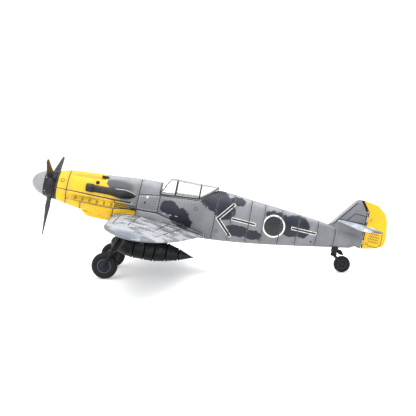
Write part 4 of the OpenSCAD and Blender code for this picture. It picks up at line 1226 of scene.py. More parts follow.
def radiators():
    """Underwing radiators, each with a framed mouth, matrix bars and an exit flap."""
    x, long, wide, y = 69.0, 13.0, 15.0, 13.5

    def under(at, out):
        t = clamp((at - wing_lead(out)) / (wing_chord(out) * tip_round(out)))
        return wing_plane(out) - lower_depth(t, out)

    loops = []
    for share, drop in ((0.0, 2.45), (0.05, 2.62), (0.3, 2.6), (0.7, 2.0), (0.95, 0.55), (1.0, 0.35)):
        at = x + long * share
        a, b = under(at, y), under(at, y + wide)
        e = min(0.5, drop * 0.3)
        corners = [(y, a + 0.25), (y, a - drop + e), (y + e, a - drop), (y + wide - e, b - drop),
                   (y + wide, b - drop + e), (y + wide, b + 0.25)]
        loops.append([Vector((at, -out, z)) for out, z in corners])
    centre = sum(loops[0], Vector()) / 6
    lip = [[lerp(p, centre, inward) + AFT_AXIS * push for p in loops[0]]
           for inward, push in ((0.16, 1.6), (0.16, 0.4), (0.13, -0.06), (0.0, 0.0))]
    bath = loops_mesh(lip + loops[1:])
    bars = []
    for i in range(15):
        out = centre.y - 6.6 + i * 0.94
        bars.append(block((centre.x + 1.2, out, centre.z - 1.15),
                          (centre.x + 1.7, out + 0.3, centre.z + 1.0), 0.05))
    matrix = join(bars)
    sides = (("port", "left", bath, matrix),
             ("starboard", "right", mirrored(*bath), mirrored(*matrix)))
    for label, end, skin, grid in sides:
        make(f"radiator_{label}", *skin, WING_UNDER, "airframe", (f"radiator_{end}",), None, 30)
        make(f"radiator_matrix_{label}", *grid, GUN, slot="gun_black")


radiators()

# ---- canopy ----

HOOD_X = 73.3
HOOD_END_X = HOOD_X + 12.3
CANOPY_TOP, CANOPY_TOP_HALF, GLASS = 15.2, 4.4, 0.8
HOOD_GAP = 0.12


def glass_outline(x, foot, top, top_half, inset=0.0):
    """Half of the canopy's outline at a station, from the port sill to the middle of the top."""
    fh = body_y(x, foot) - 0.05 - inset
    th, tz = top_half - inset, top - inset
    corners = [(-fh, foot), (-lerp(fh, th, 0.3) - 0.25, lerp(foot, tz, 0.38)),
               (-lerp(fh, th, 0.78) - 0.2, lerp(foot, tz, 0.8)), (-th, tz - 0.25),
               (-th * 0.5, tz), (0, tz)]
    cut = []
    for i, (y, z) in enumerate(corners):
        if i in (0, len(corners) - 1):
            cut.append(Vector((x, y, z)))
            continue
        before, after = corners[i - 1], corners[i + 1]
        reach = 0.3 if i == 3 else 0.26
        for t in (0.0, 0.25, 0.5, 0.75, 1.0):
            a = Vector((x, lerp(y, before[0], reach), lerp(z, before[1], reach)))
            c = Vector((x, lerp(y, after[0], reach), lerp(z, after[1], reach)))
            b = Vector((x, y, z))
            cut.append(a.lerp(b, t).lerp(b.lerp(c, t), t))
    return cut


def glass_arch(x, foot, top, top_half, inset=0.0):
    half = glass_outline(x, foot, top, top_half, inset)
    return half + mirrored(half[-2::-1], [])[0]


def glass_shell(name, node, body, stations):
    outer = [glass_arch(*s) for s in stations]
    inner = [glass_arch(*s, inset=GLASS) for s in stations]
    make(name, *shell_mesh(outer, inner, flip=True), CLEAR, body, (node,), None, 40)
    return outer


def sill(x):
    return lookup(SILL, x) + SEAT


def fine_stations(keys, steps):
    """More stations between the given ones, each (x, foot, top, half width at the top)."""
    out = []
    for a, b in zip(keys, keys[1:]):
        out += [tuple(lerp(p, q, i / steps) for p, q in zip(a, b)) for i in range(steps)]
    out.append(keys[-1])
    return [(x, max(foot, sill(x)), top, half) for x, foot, top, half in out]


def frame_bar(points, ways, half, tall=0.1):
    """A painted bar on the clear parts: each way runs along the outline at its point."""
    normals = []
    for p, way in zip(points, ways):
        n = way.cross(AFT_AXIS).normalized()
        normals.append(n if n.dot(p - Vector((p.x, 0, 9))) > 0 else -n)
    return ribbon(points, normals, half, tall, 0.05)


def arch_frame(points, half):
    """Painted frame bar round a canopy arch."""
    last = len(points) - 1
    ways = [points[min(last, i + 1)] - points[max(0, i - 1)] for i in range(last + 1)]
    return frame_bar(points, ways, half)


def length_frame(arches, index, half, tall=0.1):
    """Painted frame bar that runs along the canopy at one place of its outline."""
    ways = [a[min(len(a) - 1, index + 1)] - a[max(0, index - 1)] for a in arches]
    return frame_bar([a[index] for a in arches], ways, half, tall)


def roof_key(x, top=CANOPY_TOP, half=CANOPY_TOP_HALF):
    return x, sill(x), top, half


SCREEN = fine_stations([(BULKHEAD_X + 0.1, sill(BULKHEAD_X), 11.9, 4.9),
                        roof_key(68, lerp(11.9, CANOPY_TOP, 0.55), 4.7),
                        roof_key(70.2), roof_key(HOOD_X - 0.1)], 5)
HOOD = fine_stations([roof_key(HOOD_X + 0.3), roof_key(HOOD_END_X - 0.15)], 10)
HOOD = [(x, sill(x) + HOOD_GAP, top, half) for x, _, top, half in HOOD]
REAR_KEYS = []
for i in range(9):
    share = i / 8
    station = lerp(HOOD_END_X + 0.15, 94.4, share)
    roof = max(lerp(CANOPY_TOP, 15.5, share), sill(station) + 1.2)
    REAR_KEYS.append(roof_key(station, roof, lerp(CANOPY_TOP_HALF, 2.6, share)))
REAR = fine_stations(REAR_KEYS, 2)

screen = glass_shell("windscreen_clear", "windscreen", "airframe", SCREEN)
hood = glass_shell("hood_clear", "canopy_hood", "hood", HOOD)
rear = glass_shell("rear_canopy_clear", "rear_canopy", "airframe", REAR)
LAST = len(hood[0]) - 1
SHOULDER = 13


def canopy_frames():
    """Dark hoops and sills with a pale band along each shoulder."""
    slant = [screen[i][int(SHOULDER * i / 10)] for i in range(11)]
    out = [Vector((-0.25, -1, 0.25)).normalized()] * len(slant)
    post = ribbon(slant, out, 0.2, 0.1, 0.05)
    spans = (("windscreen", "airframe", screen, screen[10:], [post, mirrored(*post)]),
             ("hood", "hood", hood, hood, []), ("rear_canopy", "airframe", rear, rear, []))
    for label, body, arches, roof, more in spans:
        hoops = [arch_frame(arches[0], 0.24), arch_frame(arches[-1], 0.24)] + more
        hoops += [length_frame(arches, k, 0.34, 0.22) for k in (0, LAST)]
        make(f"{label}_frame", *join(hoops), FRAME_DARK, body, slot="airframe_paint")
        bands = [length_frame(roof, k, 0.36) for k in (SHOULDER, LAST - SHOULDER)]
        make(f"{label}_rails", *join(bands), FRAME_PALE, body, slot="airframe_paint")


ARMOUR_HALF, ARMOUR_TALL = 3.9, 10.2
ARMOUR_FOOT = Vector((86.6, 0, 8.4))


def head_armour():
    """Dark plate and its pale pad inside the rear panel, narrower toward the top."""
    verts, faces = block((-0.5, -ARMOUR_HALF, -0.1), (0.1, ARMOUR_HALF, ARMOUR_TALL), 0.08)
    lean = Matrix.Rotation(math.atan2(94.6 - 86.4, 15.0 - 8.4), 4, "Y")
    plate = []
    for p in verts:
        narrow = lerp(1.0, 0.62, clamp(p.z / ARMOUR_TALL))
        plate.append(lean @ Vector((p.x, p.y * narrow, p.z)) + ARMOUR_FOOT)
    make("head_armour", plate, faces, GUN, slot="cockpit_gray")
    pad = [Vector((p.x + 0.75, p.y * 0.93, p.z)) for p in plate]
    make("head_armour_pad", pad, faces, CREAM, slot="cockpit_gray")


canopy_frames()
head_armour()

# ---- tail ----

TAIL_HALF = craft_box("tailplane_right")[1].y
TAIL_RIBS = (12, 22)


def tail_edges(y):
    """Leading and trailing station of a tailplane at a distance from the centre plane."""
    tip = TAIL_HALF
    lead = [(0.1, TAIL_LEAD), (tip - 3.2, TAIL_LEAD + 4.6), (tip - 0.8, TAIL_LEAD + 6.4),
            (tip, TAIL_LEAD + 8.2)]
    rear_x = TAIL_LEAD + TAIL_CHORD
    rear_line = [(0.1, POST_X - 0.4), (1.6, POST_X - 0.4), (6.0, rear_x), (tip - 6, rear_x - 0.6),
                 (tip - 1.6, rear_x - 2.5), (tip, rear_x - 6.5)]
    return lookup(lead, y), lookup(rear_line, y)


def tailplanes():
    """Both tailplanes, grooved along the elevator hinge and at two ribs."""
    top, low, wash = [], [], []
    fixed = [rib + d for rib in TAIL_RIBS for d in NEAR_LINE]
    curved = [lerp(0.15, TAIL_HALF, math.sin(math.radians(90 * i / 34))) for i in range(35)]
    hinge = TAIL_LEAD + 12.2
    for y in sorted(set(curved + fixed)):
        a, b = tail_edges(y)
        rows = [lerp(a, b, (1 - math.cos(math.pi * i / 22)) / 2) for i in range(23)]
        rows = [x for x in rows if abs(x - hinge) > 0.4]
        rows = sorted(rows + [clamp(hinge + d, a + 0.01, b - 0.01) for d in NEAR_LINE])
        while len(rows) < 28:
            gap = max(range(len(rows) - 1), key=lambda k: rows[k + 1] - rows[k])
            rows.insert(gap + 1, (rows[gap] + rows[gap + 1]) / 2)
        thick = 0.76 * math.sqrt(max(0.08, 1 - clamp((y - TAIL_HALF + 2.2) / 2.2) ** 2))
        top.append([])
        low.append([])
        for x in rows:
            t = clamp((x - a) / (b - a))
            level = line_level(x - hinge) if y > 2 else 0.0
            level = max([level] + [line_level(y - rib) * 0.8 for rib in TAIL_RIBS])
            if not 0.04 < t < 0.96:
                level = 0.0
            half = thick * max(0.12, min(1.0, max(0.0, foil(t)) ** 0.8)) - 0.18 * level
            top[-1].append(Vector((x, -y, TAIL_Z + half)))
            low[-1].append(Vector((x, -y, TAIL_Z - half)))
            wash.append(level)
    make_pair("tailplane", *shell_mesh(top, low), TAIL_PAINT, "tailplane", {"wash": wash + wash}, 45)


tailplanes()

RUDDER_FRONT = POST_X + 0.3
RUDDER_X = RUDDER_FRONT + FIN_HALF
RUDDER_REAR = [(-0.9, RUDDER_FRONT + 0.3), (0.4, POST_X + 7), (2, POST_X + 10.8), (4, POST_X + 11.9),
               (7.5, POST_X + 12.1), (FIN_TOP - 11.4, POST_X + 11.4), (FIN_TOP - 7.8, POST_X + 10.6),
               (FIN_TOP - 4.6, POST_X + 9.1), (FIN_TOP - 1.2, POST_X + 4.7), (FIN_TOP + 0.1, POST_X - 3.6)]
HINGE_Z = (2.5, 14.5)
SLANT_Z = FIN_TOP - 5.35


def rudder_front(z):
    if z > SLANT_Z:
        return lerp(RUDDER_FRONT, POST_X - 3.6, (z - SLANT_Z) / 5.45)
    for h in HINGE_Z:
        if abs(z - h) < 0.85:
            return RUDDER_X + 1.0
    return RUDDER_FRONT


def rudder_piece():
    """Rudder with a round front edge, notched at its hinges and slanted at its top."""
    levels = [lerp(-0.88, FIN_TOP + 0.08, i / 84) for i in range(85)]
    cuts = [h + s * (0.85 + d) for h in HINGE_Z for s in (-1, 1) for d in (-0.01, 0.01)]
    levels = sorted(levels + cuts + [-0.6, -0.75])
    near, far = [], []
    for z in levels:
        a, b = rudder_front(z), max(lookup(RUDDER_REAR, z), rudder_front(z) + 0.12)
        near.append([])
        far.append([])
        for i in range(31):
            x = lerp(a, b, (1 - math.cos(math.pi * i / 30)) / 2)
            wide = lerp(FIN_HALF, 0.35, clamp((x - RUDDER_X) / (POST_X + 13 - RUDDER_X)))
            if x < RUDDER_X:
                wide = math.sqrt(max(0.0, FIN_HALF**2 - (RUDDER_X - x) ** 2))
            if z > SLANT_Z:
                wide = lerp(wide if x > RUDDER_X else FIN_HALF, 0.6, clamp((RUDDER_X + 3.5 - x) / 3.5))
            rim = min(x - a if z > SLANT_Z else 9, b - x)
            rim = min(rim, (z + 0.9) * 1.2, (FIN_TOP + 0.15 - z) * 2)
            wide *= math.sqrt(clamp(1 - (1 - clamp(rim / 0.5)) ** 2, 0.02, 1))
            near[-1].append(Vector((x, -wide, z)))
            far[-1].append(Vector((x, wide, z)))
    make("rudder_skin", *shell_mesh(near, far, flip=True), RUDDER, "rudder", ("rudder",), None, 45)


rudder_piece()


def fin_gap():
    """A dark strip along the slanting rear edge of the fin: painted shade of the gap to the rudder."""
    loops = []
    for z in (FIN_TOP - 5.2, FIN_TOP - 3.5, FIN_TOP - 1.7, FIN_TOP - 0.1):
        x = rudder_front(z) - 0.32
        outline = ((-0.2, -0.95), (0.16, -0.8), (0.16, 0.8), (-0.2, 0.95))
        loops.append([Vector((x + dx, y, z)) for dx, y in outline])
    make("fin_gap_shade", *loops_mesh(loops), GUN, slot="gun_black")


fin_gap()

# ---- propeller ----

SPINNER_LENGTH = craft_box("spinner_backplate")[1].x
SPINNER_R = 7.25
CAP_LENGTH = craft_box("spinner_cap")[1].x + 1.1
PROP_R = 27.0
BLADE_X, BLADE_CHORD, BLADE_COUNT = 10.0, 4.8, 3
ROOT_R = SPINNER_R + 0.3


def spinner_r(x):
    return SPINNER_R * math.sqrt(1 - (1 - clamp(x / SPINNER_LENGTH)) ** 2)


def spun(name, profile, material, node):
    """A part of the spinner, turned about the propeller's axis."""
    mesh = lathe(profile, (0, 0, 0), AFT_AXIS, ACROSS, 96, flip=True)
    make(name, *mesh, material, "propeller", (node,), None, 30)


def propeller():
    """Spinner cap, ring and backplate, with a row of small screws."""
    cap = [(spinner_r(CAP_LENGTH * (i / 26) ** 2), CAP_LENGTH * (i / 26) ** 2) for i in range(27)]
    cap[0] = (0.03, 0.0)
    end = cap[-1][0]
    cap += [(end - 0.05, CAP_LENGTH), (end - 1.0, CAP_LENGTH)]
    spun("spinner_dome", cap, CAP, "spinner_cap")
    rear_x = SPINNER_LENGTH - 0.9
    ring = [(end - 1.0, CAP_LENGTH + 0.06), (end - 0.1, CAP_LENGTH + 0.06)]
    for i in range(19):
        x = lerp(CAP_LENGTH + 0.1, rear_x, i / 18)
        dip = 0.16 * clamp(1 - abs(x - 8.1) / 0.3)
        ring.append((spinner_r(x) - dip, x))
    ring += [(SPINNER_R - 0.4, rear_x), (SPINNER_R - 1.0, rear_x)]
    spun("spinner_band", ring, RING, "spinner_ring")
    plate = [(1.3, rear_x + 0.06), (SPINNER_R - 0.15, rear_x + 0.06), (SPINNER_R, rear_x + 0.2),
             (SPINNER_R, SPINNER_LENGTH - 0.12), (SPINNER_R - 0.12, SPINNER_LENGTH),
             (1.3, SPINNER_LENGTH)]
    spun("spinner_rear_plate", plate, RING, "spinner_backplate")
    screws = []
    for k in range(6):
        a = math.radians(60 * k + 30)
        n = Vector((-0.45, math.cos(a), math.sin(a))).normalized()
        x = CAP_LENGTH + 1.0
        p = Vector((x, math.cos(a) * spinner_r(x), math.sin(a) * spinner_r(x)))
        screws.append((p - n * 0.02, n))
    make("spinner_screws", *domes(screws, 0.28, 0.12, 12), STEEL, "propeller", slot="spinner_black")


def blade_loops():
    """Sections of a blade along -Z, twisted, with wear marks along its edges."""
    loops, edges = [], []
    rows = 36
    for k in range(rows + 1):
        t = k / rows
        r = lerp(ROOT_R, PROP_R, 1 - (1 - t) ** 1.25)
        s = (r - ROOT_R) / (PROP_R - ROOT_R)
        chord = BLADE_CHORD * min(1, 0.6 + 2 * s) * (1 - 0.66 * s)
        chord *= math.sqrt(max(0.004, 1 - clamp((s - 0.9) / 0.1) ** 2 * 0.97))
        thick = lerp(1.5, 0.5, s) * math.sqrt(max(0.1, 1 - clamp((s - 0.96) / 0.04) ** 2))
        pitch = math.radians(lerp(128, 156, s))
        loop = []
        for a in circle(28):
            c = chord / 2 * math.cos(a)
            h = thick / 2 * math.sin(a) * (1.0 if math.sin(a) > 0 else 0.7)
            loop.append(Vector((c * math.sin(pitch) + h * math.cos(pitch),
                                c * math.cos(pitch) - h * math.sin(pitch), -r)))
            edges.append(clamp((abs(math.cos(a)) - 0.93) / 0.07) * clamp((s - 0.15) / 0.2))
        loops.append(loop)
    return loops, edges


def blades():
    """Three blades with their cuffs on a hub, marked for wear along their edges."""
    loops, edges = blade_loops()
    cuff = [(1.28, 2.0), (1.28, 6.4), (1.75, 6.45), (1.75, 7.02), (1.5, 7.2), (1.24, 7.25),
            (1.24, ROOT_R + 0.5), (0.9, ROOT_R + 1.0)]
    centre = Vector((BLADE_X, 0, 0))
    parts, marks = [], []
    for k in range(BLADE_COUNT):
        turn = Matrix.Rotation(2 * math.pi * k / BLADE_COUNT, 3, "X")
        blade = loops_mesh([[turn @ p + centre for p in loop] for loop in loops], flip=True)
        root = lathe(cuff, centre, turn @ Vector((0, 0, -1)), None, 32)
        parts += [blade, root]
        marks += edges + [0.0] * (len(blade[0]) - len(edges) + len(root[0]))
    front, back = CAP_LENGTH + 2, SPINNER_LENGTH - 0.9
    hub = [(1.25, front), (2.5, front), (2.5, back), (1.25, back)]
    parts.append(lathe(hub, (0, 0, 0), AFT_AXIS, ACROSS, 40, flip=True))
    make("blades", *join(parts), BLADE, "propeller", ("propeller_blades",), {"wash": marks}, 40)


propeller()
blades()

# ---- nose fittings ----


def supercharger():
    """Air intake on the port side: rolled lip, deep mouth and a long pointed tail."""
    start = Vector((28.7, -body_y(35.5, 2.9) - 0.55, 2.9))
    axis = Vector((math.cos(math.radians(1.1)), 0, math.sin(math.radians(1.1))))
    outline = [(0.9, 2.12), (3.2, 2.15), (4.6, 1.85), (12.0, 1.9), (16.0, 2.35), (19.5, 2.6),
               (22.5, 2.0), (24.6, 0.9), (25.4, 0.1)]
    profile = [(0.02, 5.0), (1.1, 4.4), (1.2, 2.5), (1.3, 0.6), (1.45, 0.12), (1.75, 0.0), (1.98, 0.2)]
    profile += [(smooth(outline, d), d) for d in [lerp(0.9, 25.4, i / 48) for i in range(49)]]
    scoop = lathe(profile, start, axis, ACROSS, 44)
    make("supercharger_scoop", *scoop, INTAKE, "airframe", ("supercharger_intake",), None, 35)
    # painted highlight: a pale strip along the top of the scoop's tail, where the light catches it
    out = Vector((0, -0.6, 0.8))
    top = []
    for i in range(17):
        d = lerp(15.0, 25.1, i / 16)
        top.append(start + axis * d + out * (smooth(outline, d) + 0.02))
    strip = ribbon(top, [out] * 17, 0.15, 0.12, 0.1)
    make("scoop_painted_highlight", *strip, RIVET, slot="intake_gray")
    band = [(2.1, 2.9), (2.24, 3.0), (2.22, 3.5), (2.0, 3.6)]
    make("scoop_band", *lathe(band, start, axis, ACROSS, 44, caps=False), GUN, slot="gun_black")


def exhausts():
    """Six flared, oval stubs on a flange, each hollow at its end."""
    pitch, first = 3.7, 23.2
    y0 = body_y(first, -3.4)
    turn = math.atan2(body_y(41.7, -3.4) - y0, 18.5)
    root = Matrix.Translation(Vector((first, -y0, -3.4))) @ Matrix.Rotation(-turn, 4, "Z")
    verts, faces = block((-2.2, -0.3, -1.45), (21.2, 0.6, 1.45), 0.14)
    parts = [([root @ p for p in verts], faces)]
    stub = [(1.0, -0.3), (0.98, 1.2), (1.12, 2.2), (1.15, 2.58), (1.02, 2.6), (0.78, 2.5),
            (0.7, 2.15), (0.02, 2.1)]
    seam = [(1.0, 0.7), (1.18, 0.75), (1.24, 0.85), (1.18, 0.95), (1.0, 1.0)]
    rake = math.radians(58)
    out = (root.to_3x3() @ Vector((math.sin(rake), -math.cos(rake), 0))).normalized()
    for i in range(6):
        spot = root @ Vector((i * pitch - 0.9, 0.2, 0))
        parts.append(lathe(stub, spot, out, (0, 0, 1), 28))
        parts.append(lathe(seam, spot, out, (0, 0, 1), 28, caps=False))
    make_pair("exhausts", *join(parts), OLIVE, "exhaust", None, 40)


def chin():
    """Rounded scoop with a lipped mouth and two small fasteners."""
    loops = []
    stations = [(27.9, 2.6, -9.6, -9.9), (29.3, 3.5, -9.9, -11.0), (30.9, 4.0, -9.9, -12.0),
                (35.0, 3.85, -10.2, -12.25), (39.5, 3.55, -10.9, -12.3), (42.2, 3.4, -11.2, -12.25),
                (43.1, 3.3, -11.3, -11.9)]
    for x, half, top, low in stations:
        r = min(0.9, (top - low) * 0.45)
        loop = [Vector((x, half, top))]
        for s, a0 in ((1, 0), (-1, 90)):
            for i in range(7):
                a = math.radians(a0 + 15 * i)
                y = s * (half - r) + r * math.cos(a)
                loop.append(Vector((x, y, low + r - r * math.sin(a))))
        loops.append(loop + [Vector((x, -half, top))])
    scoop = loops_mesh(loops, flip=True)
    make("chin_scoop", *scoop, YELLOW_PLAIN, "airframe", ("chin_intake",), None, 35)
    rim = []
    for grow, x in ((0.0, 30.55), (0.28, 30.4), (0.5, 30.75), (0.5, 31.4)):
        rim.append([])
        for sx, sz, a0 in ((1, 1, 0), (-1, 1, 90), (-1, -1, 180), (1, -1, 270)):
            for i in range(5):
                a = math.radians(a0 + 22.5 * i)
                y = sx * 2.2 + (0.55 + grow) * math.cos(a)
                z = sz * 0.25 + (0.45 + grow * 0.5) * math.sin(a) - 11.0
                rim[-1].append(Vector((x, y, z)))
    make("chin_mouth", *loops_mesh(rim, flip=True, cap_end=False), GUN, slot="gun_black")
    marks = [side_ribbon([(x, -10.0), (x + 0.9, -10.05)], 0.14, 0.06) for x in (28.2, 37.2)]
    make("chin_marks", *both_sides(marks), GUN, slot="gun_black")


def guns():
    """The two cowl guns: a hollow muzzle and a collar on a straight jacket."""
    jacket = [(0.02, 1.0), (0.34, 0.9), (0.36, 0.0), (0.6, 0.0), (0.68, 0.15), (0.68, 0.9),
              (0.56, 1.0), (0.56, 1.15), (0.7, 1.25), (0.7, 3.3), (0.5, 3.4)]
    gun = lathe(jacket, (35.3, -TROUGH_Y, 9.35), AFT_AXIS, ACROSS, 24)
    make_pair("cowl_gun", *gun, GUN, "cowl_gun")


supercharger()
exhausts()
chin()
guns()

# ---- undercarriage ----

WHEEL_X, WHEEL_Y, AXLE_Z = 46.3, -19.0, -32.6
WHEEL_R, WHEEL_W, HUB_R = 6.5, 5.0, 0.27 * 13
LEG_TOP = Vector((53, -12.6, WING_Z - 1.9))
LEG_FOOT = Vector((WHEEL_X, -15.0, AXLE_Z))
LEG = LEG_TOP - LEG_FOOT
LEG_UP = LEG.normalized()
LEG_LONG = LEG.length
LEG_FORE = (AFT_AXIS - LEG_UP * LEG_UP.x).normalized()
LEG_SIDE = LEG_UP.cross(LEG_FORE)


def on_leg(u, v, w):
    """A point by the port leg: u aft, v to starboard, w up the leg from the axle."""
    return LEG_FOOT + LEG_FORE * u + LEG_SIDE * v + LEG_UP * w


def leg_bar(a, b, r0, sides=24, r1=None):
    return bar(on_leg(*a), on_leg(*b), r0, sides, r1)


ARM_Y = -7.75


def gear():
    """Main legs with their torque links, outer arms, brake pipes and axle boxes."""
    sleeve = 0.42 * LEG_LONG
    rings = ((0, LEG_LONG, 0.8), (sleeve, LEG_LONG, 1.3), (sleeve - 0.1, sleeve + 1.2, 1.58),
             (sleeve + 1.5, sleeve + 1.9, 1.45), (LEG_LONG - 1.2, LEG_LONG + 0.3, 2.15),
             (LEG_LONG - 2.6, LEG_LONG - 1.2, 1.6))
    parts = [leg_bar((0, 0, a), (0, 0, b), r) for a, b, r in rings]
    # torque link: two forked arms that meet at a pin behind the leg
    pin_u, pin_w = 2.95, sleeve - 1.6
    for v in (-0.42, 0.42):
        for u, w in ((0.7, sleeve + 0.7), (0.5, 1.9)):
            parts.append(leg_bar((u, v, w), (pin_u, v * 0.4, pin_w), 0.3, 14, 0.24))
    parts.append(leg_bar((pin_u, -0.62, pin_w), (pin_u, 0.62, pin_w), 0.34))
    # outer arm from the end of the axle up to the leg, in front of the wheel
    arm = [(0, ARM_Y, 0), (0, ARM_Y, 8.6), (0, ARM_Y + 2.6, 12.4), (0, 0.6, 15.2)]
    parts += [leg_bar(a, b, 0.85, 20) for a, b in zip(arm, arm[1:])]
    parts.append(leg_bar((0, ARM_Y - 0.55, 0), (0, ARM_Y + 0.9, 0), 1.25, 28))
    # brake pipe down the front of the leg
    pipe = [(-1.55, 0.4, LEG_LONG - 1.6), (-1.6, 0.5, sleeve + 2.0), (-1.35, 0.6, sleeve - 1.2),
            (-1.1, 0.3, 1.2)]
    parts += [leg_bar(a, b, 0.18, 10) for a, b in zip(pipe, pipe[1:])]
    axle_box = [(0.82, 0.0), (1.45, 0.0), (1.6, 0.12), (1.6, 1.95), (1.45, 2.1), (0.82, 2.1)]
    parts.append(lathe(axle_box, (WHEEL_X, LEG_FOOT.y - 0.9, AXLE_Z), ACROSS, AFT_AXIS, 36))
    make_pair("gear_leg", *join(parts), GEAR, "gear_leg")


def door_outline(grow):
    """Rounded outline of a leg door as (aft, up the leg), grown by a margin."""
    low = WHEEL_R + 0.8
    corners = [(-1.7, low + 1.5), (-1.0, low), (1.2, low), (1.9, low + 1.5), (2.3, LEG_LONG - 2),
               (-1.9, LEG_LONG - 2)]
    mid_u = sum(c[0] for c in corners) / 6
    mid_w = sum(c[1] for c in corners) / 6
    out = []
    for i, (u, w) in enumerate(corners):
        before, after = corners[i - 1], corners[(i + 1) % 6]
        for t in (0.0, 0.25, 0.5, 0.75, 1.0):
            au, aw = lerp(u, before[0], 0.22), lerp(w, before[1], 0.22 if i != 0 else 0.1)
            cu, cw = lerp(u, after[0], 0.22), lerp(w, after[1], 0.22 if i != 3 else 0.1)
            pu = lerp(lerp(au, u, t), lerp(u, cu, t), t)
            pw = lerp(lerp(aw, w, t), lerp(w, cw, t), t)
            long = math.hypot(pu - mid_u, pw - mid_w)
            out.append((pu + (pu - mid_u) / long * grow, pw + (pw - mid_w) / long * grow))
    return out


def gear_door():
    """Leg doors with two lugs each, and pale lines along their rims and middles."""
    face = -1.36
    steps = ((-0.15, 0), (0, -0.12), (0, -0.45), (-0.15, -0.6), (-0.75, -0.6), (-0.85, -0.5))
    loops = [[on_leg(u, face + v, w) for u, w in door_outline(grow)] for grow, v in steps]
    parts = [loops_mesh(loops, flip=True)]
    for w in (WHEEL_R + 5.3, LEG_LONG - 4.0):
        parts.append(leg_bar((0, -1.55, w), (0, -0.7, w), 0.62, 18))
    make_pair("gear_door", *join(parts), GEAR, "gear_door")
    rim = door_outline(-0.32)
    rim = [on_leg(u, face - 0.6, w) for u, w in rim + rim[:1]]
    line = [on_leg(-0.9, face - 0.55, lerp(WHEEL_R + 1.6, LEG_LONG - 3, i / 8)) for i in range(9)]
    rows = [ribbon(rim, [-LEG_SIDE] * len(rim), 0.1, 0.05, 0.1),
            ribbon(line, [-LEG_SIDE] * len(line), 0.12, 0.1, 0.1)]
    make("gear_door_edges", *both_sides(rows), DUST, slot="gear_black")


def tyre_profile(bore, r, w):
    """Outline of a tyre with ribs in its tread and a raised ring on each side wall."""
    mid = lerp(bore, r, 0.5)
    out = [(bore, -w * 0.36), (bore, -w * 0.4)]
    for i in range(61):
        a = math.radians(lerp(-78, 78, i / 60))
        rr = mid + (r - mid) * math.cos(a)
        d = w / 2 * math.sin(a) / math.sin(math.radians(78))
        if tread_groove(d, w) or abs(d) < w * 0.02:
            rr -= 0.16
        if 0.44 * w < abs(d) < 0.47 * w:
            rr += 0.05
        out.append((rr, d))
    return out + [(bore, w * 0.4), (bore, w * 0.36)]


def tread_groove(d, w):
    return abs(abs(d) - w * 0.12) < w * 0.028


def wheel(label, body, hub_node, tyre_node, centre, r, w, bore, axle_r, shine):
    """A tyre with tread ribs on a hub with a dished face, bolts and a pale rim ring."""
    tread = tyre_profile(bore + SEAT / 2, r, w)
    groove = [1.0 if tread_groove(d, w) else 0.0 for _, d in tread for _ in range(88)]
    tyre = turned_ring(tread, centre, 88)
    make(f"tyre_{label}", *tyre, TYRE, body, (tyre_node,), {"wash": groove}, 40)
    half = w / 2
    cap = axle_r + 0.05
    side = [(cap, half), (cap + 0.55, half), (cap + 0.62, half - 0.12), (cap + 0.7, half - 0.62),
            (cap + 0.9, half - 0.78), (bore - 1.05, half - 0.85), (bore - 0.85, half - 0.62),
            (bore - 0.62, half - 0.24), (bore - 0.2, half - 0.2), (bore, half - 0.3)]
    profile = [(rr, -d) for rr, d in side] + [(rr, d) for rr, d in side[::-1]]
    hub = turned_ring(profile, centre, 64)
    pale = [shine * clamp((rr - bore + 0.66) / 0.12) for rr, _ in profile for _ in range(64)]
    bolts = []
    ring = lerp(cap + 0.9, bore - 1.0, 0.5)
    for s in (-1, 1):
        for a in circle(8):
            spot = Vector((ring * math.cos(a), s * (half - 0.83), ring * math.sin(a)))
            bolts.append((Vector(centre) + spot, ACROSS * s))
    heads = domes(bolts, min(0.26, (bore - cap) * 0.14), 0.2, 8)
    marks = {"wash": pale + [0.45 * shine] * len(heads[0])}
    make(f"hub_{label}", *join([hub, heads]), HUB_PAINT, body, (hub_node,), marks, 35)


gear()
gear_door()
for side, end, wheel_y in (("port", "left", WHEEL_Y), ("starboard", "right", -WHEEL_Y)):
    wheel(side, f"main_wheel_{end}", f"wheel_hub_{end}", f"tyre_{end}",
          (WHEEL_X, wheel_y, AXLE_Z), WHEEL_R, WHEEL_W, HUB_R, 0.8, 1.0)

TAIL_X, TAIL_AXLE_Z, TAIL_R, TAIL_W = POST_X - 7.5, -10.7, 4.3, 3.0
wheel("tail", "tail_wheel", "tail_wheel_hub", "tail_tyre",
      (TAIL_X, 0.0, TAIL_AXLE_Z), TAIL_R, TAIL_W, 0.27 * 8.6, 0.5, 0.4)


